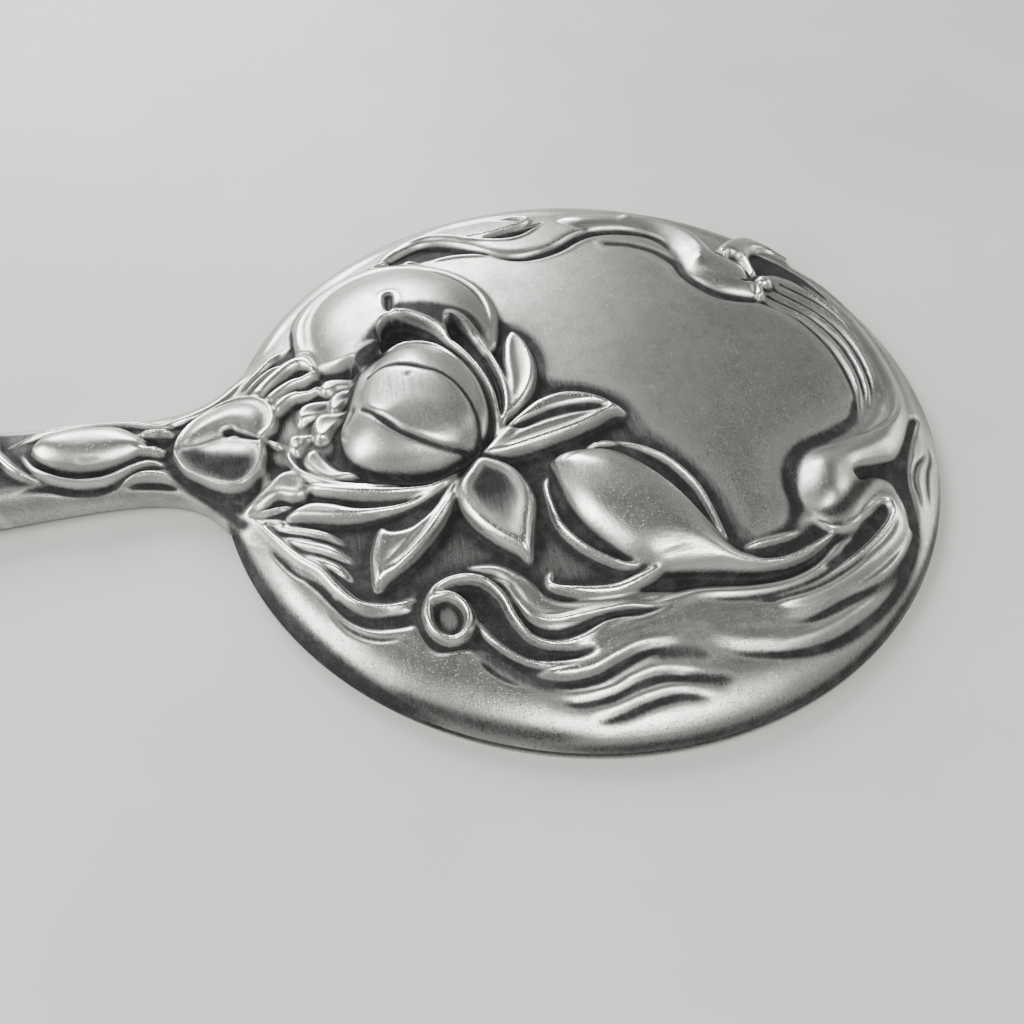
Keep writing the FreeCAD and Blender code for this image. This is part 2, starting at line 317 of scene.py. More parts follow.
    def wave(self, points, height, width, run):
        """A step in the metal: rounded to the left of the curve, falling away into a dark crease."""
        curve = spline(points)
        w = self.window(curve, 2.5 * run)
        d, along, side = self.to_curve(w, curve)
        size = taper_share(along, "both")
        across = d * side
        rising = smooth(across / (1.4 * width) + 0.15)
        raised = rising * np.exp(-((np.clip(across, 0, None) / run) ** 2))
        sunk = 0.55 * (1 - rising) * np.exp(-((np.clip(-across, 0, None) / (0.55 * run)) ** 2))
        self.rise[w] += height * size * (raised - sunk)
        reach = width * size * np.where(across > 0, 0.45, 0.75) + 0.02
        stain_and_shade = WAVE_DARK * np.exp(-(((across + 0.25 * width) / reach) ** 2)) * np.minimum(1, size * 1.6)
        self.tarnish_and_shade[w] = np.maximum(self.tarnish_and_shade[w], stain_and_shade)
        self.left_dark[w] = np.maximum(self.left_dark[w], 0.85 * stain_and_shade)

    def hump(self, points, height, reach):
        """Swells the surface softly along a curve."""
        curve = spline(points)
        w = self.window(curve, 2.5 * reach)
        d = self.to_curve(w, curve)[0]
        self.rise[w] += height * np.exp(-((d / reach) ** 2))

    def stain_and_shade(self, points, tarnish_and_shade, edge=3.0):
        """Darkness kept through the polish inside an outline, fading out across its edge: unpolished
        tarnishing in some places, painted shade in others.
        """
        outline = spline(points, closed=True)
        w = self.window(outline, edge + 1)
        mask = smooth(self.signed(w, outline) / edge + 0.5)
        self.left_dark[w] = np.maximum(self.left_dark[w], tarnish_and_shade * mask)


def taper_share(along, taper):
    """Share of full width along a curve whose ends may run out to nothing."""
    if taper == "none":
        return np.ones_like(along)
    if taper == "start":
        return np.clip(along * 2.2, 0, 1) ** 0.6
    if taper == "end":
        return np.clip((1 - along) * 2.2, 0, 1) ** 0.6
    return np.clip(np.sin(math.pi * along) * 1.1, 0, 1) ** 0.75


# ---- The design, region by region. All points are (x, y) in millimetres ------------------------------

ARC_POINTS = 14


def arc(radius, start, stop):
    """Points along a circle about the head's centre, between two angles in degrees."""
    angles = np.radians(np.linspace(start, stop, ARC_POINTS))
    return np.column_stack([radius * np.cos(angles), radius * np.sin(angles)])


def grounds(r):
    """The rim's roll, and the sunk tarnished ground that the flowers stand on."""
    r.ridge(arc(60.5, -160, -25), 9.0, 0.8, power=1.0)
    r.ridge(arc(61.0, -25, 75), 6.0, 0.6, power=1.0)
    # Dark bands round the outer edge of the rim's roll on its near side: painted shade and painted dark
    # reflection where the roll turns down, with some tarnish in them.
    for radius, start, stop, width, dark in [
            (64.2, -120, -18, 1.4, 0.8),
            (64.3, -175, -114, 2.2, 0.95),
            (63.2, -132, -98, 1.8, 0.8),
            (63.1, -96, -52, 0.9, 0.5),
            (62.3, -78, -60, 0.6, 0.4)]:
        r.groove(arc(radius, start, stop), width, 0.0, dark, fuzz=0.4)
    # Darker over the rim's roll at the top of the head.
    r.stain_and_shade([(61, -18), (64.5, -14), (65, 0), (64, 8), (61.6, 4), (60.6, -6)], 0.4, edge=4.0)
    r.ground([(-55.4, -15), (-54.8, -20), (-51.8, -24.6), (-46, -31.4), (-43, -35.4), (-40, -37.4),
              (-35, -38), (-27, -36), (-22, -38), (-18, -43), (-12, -44.5), (-4, -45), (5, -43.5),
              (14, -43.8), (24, -43), (31, -40.5), (36, -37.5), (30, -35.5), (27, -36.5), (22, -38.2),
              (18.5, -38.5), (16.5, -34), (15.8, -29), (14, -23.5), (11.5, -18.5), (8, -13.5), (6.5, -9.5),
              (4.5, -5), (0, -1.5), (-5, 0), (-6.5, 3), (-6, 8), (-7.5, 13), (-10, 16.5), (-13, 20),
              (-22, 21), (-30, 23), (-37, 19), (-43, 12), (-48, 9), (-54, 6), (-56, -3), (-55, -11)], -1.0,
             0.62, edge=2.6)
    # The fuzzy dark line where the smooth field meets the design: a narrow core in a soft halo.
    borders = [
        ([(-12, 17), (-9.5, 16.8), (-6.8, 13), (-5.4, 8), (-6, 2.5), (-4, 0.2), (0.5, -1.2), (5.3, -4.6),
          (7.3, -9), (8.7, -13.5), (12.2, -18.5), (14.8, -23.5), (16.5, -29), (17.3, -34), (19, -37.7)],
         2.6, 0.0, 0.8, 5.0),
        ([(19, -38), (22, -37.6), (26, -35.8), (28.2, -32), (28.6, -28), (30.2, -24.3), (33.5, -21.2),
          (38, -19.4), (42, -17.8), (45.5, -15.8), (48, -12.5)], 2.6, 0.35, 0.85, 7.0),
        ([(44, -16.8), (47, -14), (49, -9), (49.6, -2), (49, 4), (46.4, 11), (41, 16.5)], 1.0, 0.35, 0.85,
         3.0),
        ([(41, 17.2), (36, 18), (32.5, 19.6), (29.8, 23.2), (28, 27), (27.4, 31), (24.5, 36), (20, 39.2),
          (15.5, 40.5)], 1.6, 0.35, 0.85, 3.0),
    ]
    for points, width, depth, dark, halo in borders:
        r.groove(points, halo, 0.0, 0.42, taper="none", fuzz=0.6)
        r.groove(points, width, depth, dark, taper="none", fuzz=0.3)


def lily_pad(r):
    """The big round leaf behind the lily: a smooth cap with a flat brim, and a slit for its stalk."""
    r.pillow([(-44.6, 6), (-48, 11), (-50.4, 16), (-51.6, 22), (-51.2, 29), (-48.6, 34.8), (-44.6, 38.6),
              (-40, 41), (-35, 42.3), (-30, 42), (-25, 40.2), (-20, 37), (-16, 33), (-13, 28), (-11.6, 22),
              (-12, 16), (-15, 9), (-28, 6)], -0.1, 1.5, edge=2.6, edge_tarnish=0.35)
    r.pillow([(-42, 6), (-45.4, 12), (-47.2, 18), (-47.6, 25), (-45.8, 31), (-41.6, 35.8), (-36, 38.4),
              (-30, 38.8), (-24.6, 37), (-19.6, 33.6), (-15.6, 28.6), (-14, 22), (-14.6, 14), (-26, 6)],
             1.0, 3.6, edge=15.0, power=0.8, soft=2.0, melt=1.0)
    r.groove([(-13.4, 16), (-13.6, 21), (-14.8, 26.4), (-17.6, 31), (-21.6, 34.8), (-26.6, 37.8)], 0.9, 0.5,
             0.5)
    r.groove([(-48, 17), (-48.8, 21), (-48.8, 27), (-46.6, 32.6)], 0.8, 0.3, 0.25)
    r.groove([(-36, 40.6), (-33, 41.2), (-29.6, 40.6), (-26.4, 39)], 1.2, 0.5, 0.8)
    r.groove([(-31.7, 24.8), (-31.8, 22.8), (-32, 20)], 1.5, 1.1, 0.98, taper="end")
    # Painted shade over the lower part of the cap, where it runs down under the bud.
    r.stain_and_shade([(-42, 9), (-38.3, 13), (-35, 17.4), (-31.4, 21.8), (-27, 22.2), (-22, 21.2), (-17, 19.4),
             (-14.6, 14), (-16, 8), (-28, 8), (-38, 8)], 1.0, edge=3.2)


def left_cluster(r):
    """The small curling bracts between the neck and the lily, and the creases that run out to the rim."""
    r.ground([(-59, 7), (-56, 11), (-53, 14), (-49, 14.6), (-46, 12), (-42.6, 10.6), (-39, 10), (-38.6, 5),
              (-41, -2), (-46, -9), (-52, -9), (-56, -5), (-55.6, 3)], -0.4, 0.3, edge=2.0)
    # Creases and folds that fan out from the little pad on the neck to the upper rim.
    r.groove([(-51.9, 28), (-51.2, 23.6), (-51, 20), (-50.4, 17.4)], 0.8, 0.5, 0.7)
    r.ground([(-57.4, 15.4), (-55.4, 17.8), (-53, 19.4), (-51.2, 21), (-50.8, 17.8), (-53, 17.2),
              (-55.6, 16.2)], -0.6, 0.8)
    r.ridge([(-61.5, 9.6), (-57.2, 16.8), (-54.8, 19.8), (-52.4, 21.5)], 1.6, 1.5, level=-0.1)
    r.ridge([(-60.4, 8.8), (-57.8, 12.8), (-55.2, 15.8), (-52.4, 17.2)], 1.2, 1.2)
    r.groove([(-60.8, 9.8), (-58.4, 13.4), (-55.8, 16.6)], 0.4, 0.3, 0.6)
    r.groove([(-59.6, 8.8), (-57, 12.4), (-54.4, 15)], 0.4, 0.3, 0.6)
    leaves = [
        [(-61.4, 5.6), (-58.6, 9.6), (-56.2, 13), (-53.5, 15.9), (-50.5, 17.2), (-48, 16.8), (-46.6, 14),
         (-46, 11.2), (-47.4, 11), (-48.6, 13.2), (-50.2, 14), (-52.4, 12.6), (-54.8, 9.8), (-57, 6)],
        [(-58.6, 3.6), (-56.6, 6.8), (-54.6, 9.2), (-52, 10.9), (-49.4, 11.5), (-47, 12.2), (-46.4, 10.6),
         (-48.2, 9.6), (-50.4, 8.9), (-52.4, 7.2), (-54.6, 4.6), (-57, 2.6)],
        [(-56.8, 1.8), (-55, 4.8), (-53.2, 6.9), (-50.8, 7.8), (-48, 7.4), (-46.2, 8.4), (-46, 6.8),
         (-48.2, 5.8), (-50.6, 5.1), (-52.6, 3.2), (-54.6, 1.2)],
    ]
    hollows = [
        [(-52.2, 10.9), (-50.6, 12.7), (-49, 13.5), (-48, 12.4), (-49.4, 11.2)],
        [(-50.6, 8.2), (-48.6, 9), (-46.8, 10.2), (-46.4, 9), (-48.4, 7.8)],
        [(-49.4, 4.6), (-47.6, 5.4), (-45.8, 6), (-45.4, 4.8), (-47.4, 4)],
    ]
    for outline, hollow in zip(leaves, hollows):
        r.pillow(outline, -0.1, 1.7, edge=1.7)
        r.ground(hollow, -1.0, 0.95, edge=0.7)
    r.ridge([(-56, -2.2), (-54.2, -3.7), (-52.4, -4.8)], 1.2, 1.5, level=-0.3)
    # Each bract is dished, free at its upper left, and dips dark under the next one towards the lily.
    bracts = [
        ([(-52, -5.4), (-51.7, -2.8), (-48.8, -2.4), (-46.6, -3.4), (-48.4, -5), (-50.2, -7.4)],
         (-47.4, -4.6)),
        ([(-50.4, 2.4), (-48.8, 4.3), (-46, 4.6), (-43.6, 3.8), (-44.2, 1.2), (-46.4, 0.4), (-48.6, 0),
          (-49.8, -0.8)], (-45, 1.2)),
        ([(-47.2, -5), (-47.6, -1.2), (-46, 0.8), (-42.7, 0.9), (-39.9, 1.2), (-40.2, -1.6), (-42.8, -2.6),
          (-45.2, -5.4)], (-41, -1.6)),
        ([(-46, 5.8), (-45.5, 8.6), (-42.4, 9.2), (-38.5, 8.4), (-39.6, 6.2), (-42.5, 6.2), (-44, 5.2)],
         (-39.6, 6.8)),
        ([(-44.5, 0.8), (-44.5, 4.2), (-42.4, 6.1), (-39, 5.8), (-39, 3.2), (-41.2, 2.4), (-42.8, 0.4)],
         (-40, 3.4)),
        ([(-49, -10.7), (-49.1, -7.9), (-47.1, -6.6), (-45.2, -9.2), (-43, -12), (-39.8, -14),
          (-43.4, -14.7), (-46.4, -13.5)], (-43.6, -10)),
    ]
    for outline, under in bracts:
        r.petal(outline, -0.2, 1.9, rim=1.0, hollow=0.6, tarnish_and_shade=0.8, dark_from=under, dark_reach=4.5,
                dip=0.5)
    r.ridge([(-40.2, 8.8), (-39.8, 11), (-37.8, 12.8), (-34.8, 13.6)], 1.1, 1.9, level=0.2, sides=0.4)


def long_petals(r):
    """The two long petals that sweep left from the heart, and the crescents cupped round the bud."""
    r.petal([HEART, (-24, -17.6), (-28, -20), (-33, -21.8), (-38, -22.8), (-43, -22.6), (-48, -21.2),
             (-52.8, -19.2), (-49, -17.2), (-45, -18.2), (-40, -20.4), (-34, -20.8), (-28, -18.8)], -0.5,
            2.0, rim=1.5, tarnish_and_shade=0.5)
    r.petal([HEART, (-26, -17.2), (-30, -18.3), (-35, -17.6), (-45, -14.8), (-48.8, -13.4), (-48, -15.8),
             (-44, -17.8), (-39, -19.4), (-33, -20.2), (-27, -19)], -0.2, 2.0, hollow=0.4, tarnish_and_shade=0.6)
    r.ridge([(-52, -3.6), (-51.5, -8.2), (-48.8, -12.2), (-44.6, -15), (-38.9, -16.8), (-32.6, -17.4)], 1.6,
            1.8, sides=0.5)
    # Leaf tips and straggling strokes in the ground under the long petals.
    for stroke, width in [
            ([(-55.6, -19.6), (-47, -23.4), (-43.6, -26)], 1.5),
            ([(-54.4, -21.6), (-50, -24.4), (-46, -26.6), (-42.4, -29.6)], 2.0),
            ([(-51.6, -25.2), (-48.4, -27.6), (-45, -30), (-42.6, -33)], 1.6)]:
        r.ridge(stroke, width, 1.0, level=-0.5)


def open_petals(r):
    """The petals that lie open to the right of the bud and below it."""
    # The slim upright petal, a smooth hollow with a broad rolled right edge.
    r.petal([(-16.2, -8.5), (-14.2, -4), (-13.2, 1), (-12.9, 6), (-12.2, 10.5), (-11.2, 13.2), (-9.8, 14.6),
             (-8.2, 12.8), (-7.1, 9.4), (-6.8, 5), (-7.8, 0.6), (-10, -3.4), (-12.8, -6.6)], 0.0, 2.2,
            rim=1.1, tarnish_and_shade=0.15)
    r.ridge([(-9.7, 14), (-8.4, 10.5), (-8, 6), (-8.7, 1.5), (-10.6, -2.5), (-13.2, -6), (-15.8, -8.4)],
            1.9, 2.5)
    # The broad right petal: a ribbed lower blade, and a dark hollow under its turned upper edge.
    r.petal([HEART, (-16.5, -10.2), (-10.5, -4.8), (-7, -3), (-3.6, -2.4), (-0.4, -3), (2.6, -4.6),
             (4.6, -6.6), (6.2, -8.8), (3.6, -9.4), (0.5, -10.9), (-4, -12.6), (-9, -14), (-14, -15),
             (-18.6, -15.4)], 0.0, 2.1, rim=1.5)
    r.ground([(-14, -9.2), (-10, -7.6), (-6, -6.2), (-2, -5.8), (1.4, -6.2), (3.2, -7.2), (1.6, -8),
              (-3, -7.8), (-8, -8.6), (-12, -9.9)], 0.3, 0.85, edge=0.8)
    for rib, width in [
            ([(-18.5, -14.4), (-12, -11), (-6, -9.4), (0, -8.4), (3.4, -6.6)], 2.4),
            ([(-18.5, -14.8), (-12, -13), (4.6, -8.6)], 1.6)]:
        r.ridge(rib, width, 2.2)
    r.groove([(-18, -14.6), (-12, -12.2), (0, -9.2), (3, -8.1)], 0.6, 0.5, 0.45)
    r.groove([(-15, -14.4), (-9, -13.2), (-3, -11.5)], 0.5, 0.35, 0.4)
    # The two lower petals, hollow and hatched dark towards the heart.
    r.petal([HEART, (-17.4, -15.6), (-14.6, -18), (-13, -21.6), (-12.7, -25), (-13.8, -29.4), (-15.4, -35),
             (-17.4, -33.8), (-20.6, -31), (-23.4, -27.4), (-25, -23.4), (-25, -20), (-23, -17)], -0.1, 2.4,
            rim=2.0, hollow=0.35, tarnish_and_shade=0.8, dark_from=(-19.5, -19.5), dark_reach=11.0)
    r.petal([(-23.2, -17), (-25.2, -20.6), (-30.4, -28.6), (-33.6, -31.8), (-36.6, -34), (-39.2, -35.4),
             (-39.7, -31.4), (-39.2, -28), (-37.6, -24.7), (-35.6, -26), (-32.4, -25.6), (-29, -23),
             (-25.6, -18.6)], -0.3, 2.1, rim=1.5, hollow=0.55, tarnish_and_shade=0.85, dark_from=(-29, -21.5),
            dark_reach=9.0)
    r.ridge([(-24.4, -19.4), (-27, -23.8), (-30.4, -28.2), (-34, -31.6), (-38.6, -34.8)], 2.0, 2.4)
    r.groove([(-38.2, -33), (-35, -31), (-31.6, -27.8), (-28, -23.4)], 0.7, 0.6, 0.6)


def bud(r):
    """The closed heart of the lily: three smooth overlapping petals inside thin cupped ones."""
    # The two big cup petals behind, each a thin bright edge round a dark hollow.
    r.ground([(-21.4, 13.6), (-21.4, 17.4), (-19.4, 16.2), (-16.8, 11), (-15.2, 5), (-14.9, -1),
              (-15.8, -6), (-16.4, -2), (-17.2, 3), (-18.6, 8)], 0.2, 0.6, edge=0.6)
    r.ridge([(-22.2, 13.4), (-22, 16.6), (-21, 19), (-18.6, 17.4), (-15.8, 11.4), (-14.1, 5), (-13.6, -0.8),
             (-14.4, -6), (-16.6, -11), (-19.2, -14)], 1.5, 2.6, level=0.3, sides=0.5)
    r.ground([(-34.2, 12), (-34, 17), (-32.4, 19), (-29.6, 19.2), (-26.4, 17.4), (-22.6, 14), (-19, 8),
              (-16.8, 1.6), (-16, -4), (-17.6, -11), (-22, -6), (-26, 6), (-32, 9)], 0.7, 0.9, edge=0.6)
    r.ridge([(-33.9, 13), (-34.2, 17.2), (-32.8, 19.7), (-30, 20), (-27.2, 18.4), (-24, 15.7), (-21, 11.8),
             (-18.2, 6.5), (-16.4, 0.7), (-15.8, -5), (-16.6, -10), (-19, -14)], 1.6, 3.2, level=0.4,
            sides=0.6)
    egg = [(-42.8, -5), (-42.4, -9), (-40.6, -12.4), (-37, -14.8), (-32, -16.4), (-27, -16.6),
           (-23.2, -15.4), (-20.3, -13.6), (-17.6, -9.6), (-16.8, -3.6), (-17.4, 2), (-19.3, 6.6),
           (-22.2, 10.4), (-26, 12.9), (-30, 13.6), (-33.4, 12.4), (-36.4, 9.6), (-38.8, 6), (-41.4, -1)]
    # The egg's darkening over its whole face is partly a duller patina and partly painted shade that tones
    # down its reflections.
    r.pillow(egg, 0.4, 6.2, tarnish_and_shade=0.46, edge_tarnish=0.6, power=0.62, melt=0.8)
    # Painted shade over the egg's lower right and along its lower edge, the side turned from the light.
    r.stain_and_shade([(-27, -13.4), (-23, -11.6), (-20.6, -8), (-19.4, -2), (-17.2, -2), (-17.6, -9), (-21, -13.8),
             (-28, -16), (-35, -15.4), (-40, -12.4), (-36, -12.8)], 0.5, edge=3.0)
    r.stain_and_shade([(-42, -10), (-40, -13), (-36.6, -14.8), (-32, -16), (-27, -16.2), (-23, -15), (-25, -17.4),
             (-32, -17.6), (-38, -16), (-42.6, -12)], 0.9, edge=1.6)
    r.ridge([(-36, 8.6), (-34.2, 11.4), (-31.3, 13.2), (-27.8, 12.9), (-24.4, 11.2), (-21.4, 7.6),
             (-19.2, 2.6), (-18.1, -2.8), (-18.2, -8), (-20, -13.6)], 1.2, 2.4, level=1.6, sides=0.5)
    # The middle petal stands proud of its neighbours between two seams.
    lower = [(-38.4, -3.8), (-33.7, -9.5), (-30.8, -11.8), (-27.4, -13.5), (-24.3, -14.3), (-21, -14.3)]
    upper = [(-37, 4.2), (-34.8, 5), (-32.4, 4.6), (-27.3, 2), (-24.9, 1), (-22.5, -1.2), (-20.8, -4.3),
             (-19.8, -7.6), (-19.6, -11), (-20.6, -14)]
    outline = spline(lower + upper[::-1], closed=True)
    w = r.window(outline, 1.5)
    r.rise[w] += 0.35 * smooth(r.signed(w, outline) / 1.2)
    for seam in (lower, upper):
        r.groove(seam, 0.55, 0.6, 1.0, taper="none", lip=0.1)
    for break_out in [
            [(-34.2, 4.8), (-32, 4.4), (-26.6, 1.6)],
            [(-36.6, -6.2), (-34.2, -9), (-32.4, -10.6)]]:
        r.groove(break_out, 0.9, 0.3, 1.0, lip=0.0)
    r.groove([(-30.6, 0.6), (-29.4, 0.3)], 0.9, 0.35, 0.4)
    r.groove([(-40.4, 0), (-40, -2.4), (-41, -4.4), (-42.4, -6)], 1.0, 0.6, 0.6)


def side_bud(r):
    """The closed bud to the right, held between two long sepals, and the stem that it grows from."""
    r.ridge([(3.4, -14.4), (7, -16.4), (10.2, -19.6), (12.6, -23.6), (14, -28), (14.8, -36.4)], 1.5, 2.0,
            level=-0.7, taper="start", sides=0.6)
    r.ridge([(-2.6, -15.4), (0, -14.6), (3.4, -14.6)], 1.0, 1.4, level=-0.6, sides=0.5)
    r.ridge([(-9.4, -19.2), (-10.4, -22), (-10.4, -26), (-9.8, -29.8), (-7.6, -33.6), (-4.6, -36.6),
             (-1, -38.8), (3, -39)], 1.6, 2.2, level=-0.7, taper="start", sides=0.6)
    r.pillow([(-8.8, -19), (-8.7, -17.4), (-6.8, -16.2), (-3, -16), (1, -16.6), (4, -18.6), (7, -21.8),
              (9.6, -25.4), (11.8, -29.6), (14.9, -37.2), (17, -39.6), (21, -41), (25, -41), (20, -42.8),
              (13, -42.4), (8, -41.4), (3, -40.6), (-0.6, -38.2), (-3.6, -34.4), (-6.2, -30.4),
              (-7.8, -26)], -0.3, 4.6, edge=8.0, power=0.55, edge_tarnish=0.4, melt=0.8)
    r.groove([(-8.6, -19.6), (-6, -18.4), (-3, -17.5), (0.6, -17.8), (3.6, -19.2)], 0.7, 0.5, 0.75)
    r.groove([(4.2, -18.8), (7.4, -22.6), (10.2, -27), (14, -36)], 0.6, 0.4, 0.6)
    r.ridge([(-12.8, -37.4), (-13.4, -39.6), (-10.8, -41.2), (-6.4, -42.2), (-2.4, -42), (5.4, -39.4),
             (9, -39.2)], 2.5, 2.2, level=-0.4, sides=0.4)
    r.ridge([(8, -40.4), (19, -41.6), (23.3, -41.5), (28, -40), (34, -36.8)], 1.8, 2.0, level=-0.2,
            sides=0.5)
    r.groove([(2.6, -39.2), (6, -38.8), (9.6, -38.6)], 0.5, 0.4, 0.5)
    r.ridge([(17, -38.3), (23.6, -37.5), (27.4, -36.6)], 1.2, 1.3, level=-0.6, sides=0.7)
    # The deep shadow line under the stem.
    r.groove([(-13, -42.6), (-9, -44), (-4, -45), (1, -44), (6, -42.8), (11, -42.8), (16, -43.8),
              (22, -43.8), (28, -42), (33, -38.8)], 2.0, 0.9, 0.95)


def tendril(r):
    """The ribbon that curls into a ring and runs on in an S through the water, over a tarnished hollow."""
    r.ground([(-34, -37.6), (-28, -35), (-23, -35.6), (-20, -39), (-18.6, -44), (-16.4, -48), (-12.6, -50),
              (-9, -50.4), (-13, -51.8), (-18, -51.6), (-21.4, -50), (-24.4, -48), (-27.6, -47),
              (-31.4, -46.4), (-33.4, -43.6), (-34, -40)], -0.9, 0.7, edge=1.2)
    r.ground([(-45, -35.6), (-41, -38.8), (-36, -39.6), (-32.6, -39.2), (-32.8, -41.6), (-36, -42),
              (-40.6, -41), (-44, -38.4)], -0.6, 0.75)
    r.ground([(-30.6, -42.6), (-30.4, -40.2), (-28.6, -39.6), (-27.4, -41.6), (-27.8, -43.8),
              (-29.4, -44.6)], -0.4, 0.35, edge=0.8)
    r.stain_and_shade([(-27.6, -46), (-25.6, -49), (-21.6, -52.6), (-17.6, -55.2), (-14.4, -55.8), (-17, -53.4),
             (-20.4, -50.6), (-23.6, -47)], 0.75, edge=1.4)
    # The crest that runs in from the neck, with creases fanning out below it.
    r.ridge([(-61, -15.6), (-57.4, -18.4), (-53.8, -23.2), (-50.6, -27.2), (-47.4, -30.2), (-44.8, -34),
             (-42, -37), (-38, -38.3), (-33, -38)], 1.7, 1.4, sides=0.5)
    for crease, width in [
            ([(-52.4, -28), (-47.6, -33), (-45, -36.8), (-42, -39.6), (-38, -41.2), (-34, -41.6)], 0.9),
            ([(-47, -36), (-43.4, -40.6), (-39.4, -43), (-35, -43.4)], 0.8),
            ([(-56, -23), (-52, -28.6), (-49.4, -31.4)], 0.6)]:
        r.groove(crease, width, 0.4, 0.8, fuzz=0.2)
    # The broad ribbon behind, then the narrow one that makes the ring.
    r.ridge([(-25, -34.4), (-20.6, -35.8), (-17.6, -39), (-15.6, -42.4), (-12, -44.2), (-7, -44.4),
             (-1, -44), (5, -43.8)], 3.4, 1.0, level=-0.5)
    r.ridge([(-23, -35.8), (-20, -38.4), (-18.4, -42), (-16.6, -44.4), (-13.6, -45.4), (-8, -45.3),
             (-2, -45.2), (4, -45.6)], 1.1, 1.6, level=-0.3)
    r.groove([(-21.4, -38.6), (-19.6, -42), (-18.4, -45), (-16, -47), (-12.6, -47.6), (-5.5, -46.3),
              (0, -46.2), (5, -45.6)], 1.6, 0.8, 0.95)
    r.ridge([(-30.8, -38.8), (-28.6, -38.6), (-26.6, -40.4), (-26, -42.8), (-27.2, -45), (-29.4, -45.4),
             (-31.4, -43.6), (-32, -40.8), (-31, -38), (-28.8, -36.6), (-25.6, -36.4), (-22.9, -37.6),
             (-20.8, -40.4), (-19.6, -44), (-17.6, -47.4), (-14.2, -49), (-10.4, -48.6), (-6.6, -47),
             (-2, -46.6)], 1.6, 2.0, level=-0.1, taper="end")
    for streak, width in [
            ([(-25.6, -45), (-23.4, -47.8), (-20.8, -50.4), (-18, -52), (-14.4, -52.2)], 1.2),
            ([(-24, -40), (-23, -43.4), (-21, -47), (-18.6, -49.8), (-15, -50.8)], 0.8),
            ([(-26.4, -48), (-23.4, -51.6), (-19.6, -54.4)], 0.7)]:
        r.groove(streak, width, 0.4, 0.9, fuzz=0.2)
    r.ridge([(-25.4, -42), (-23.6, -46), (-20.4, -49.4), (-17, -51.2), (-12, -51.6), (-7, -50.4)], 1.0, 1.2,
            level=-0.3)


def bottom_water(r):
    """The flowing water between the flowers and the lower rim: long steps with dark creases under them."""
    waves = [
        ([(-21.4, -48.6), (-18.6, -52.4), (-14.6, -54.3), (-10, -54.4), (-5.6, -53), (-2, -52), (3.6, -52)],
         0.9, 1.3, 3.0),
        ([(-17.4, -56), (-13, -57.4), (-8.4, -57.4), (-4, -56.3), (-0.4, -55.9), (4, -56.8), (9, -58)], 0.7,
         1.3, 2.4),
        ([(-12, -60.2), (-7.4, -59.9), (-3, -59), (1.6, -58.7), (6.4, -59.9)], 0.6, 1.4, 2.0),
        ([(6, -45), (13, -46.2), (20, -46.2), (26, -45), (31.4, -42.6), (37.4, -38.4)], 0.4, 0.8, 2.5),
        ([(19, -51), (24, -50.5), (29.5, -48.9), (36.5, -46.7), (41.5, -43.6), (45.3, -40.4), (47.5, -37),
          (49.8, -29)], 0.9, 1.7, 3.4),
        ([(7, -52.4), (13, -54.4), (20, -55.1), (26.4, -54.2), (32, -52), (37, -49.2), (41.6, -45.4),
          (46, -40), (49, -34), (50.6, -27)], 0.9, 1.8, 3.0),
    ]
    for points, height, width, run in waves:
        r.wave(points, height, width, run)
    # Patches and single strokes that the polishing missed.
    for patch, width, dark in [
            ([(-2.4, -53.6), (1.6, -53.2), (4.6, -53.4), (8, -54.6)], 2.2, 0.7),
            ([(1, -56.8), (5, -57.2), (10.6, -58)], 2.0, 0.75),
            ([(-3, -49.2), (3, -49.3), (9, -49.8)], 0.9, 0.5),
            ([(10, -50.4), (17, -51), (24, -50.8)], 0.7, 0.4),
            ([(-20.6, -55), (-17, -56.4), (-13, -57.6)], 1.6, 0.5)]:
        r.groove(patch, width, 0.0, dark, fuzz=0.5)


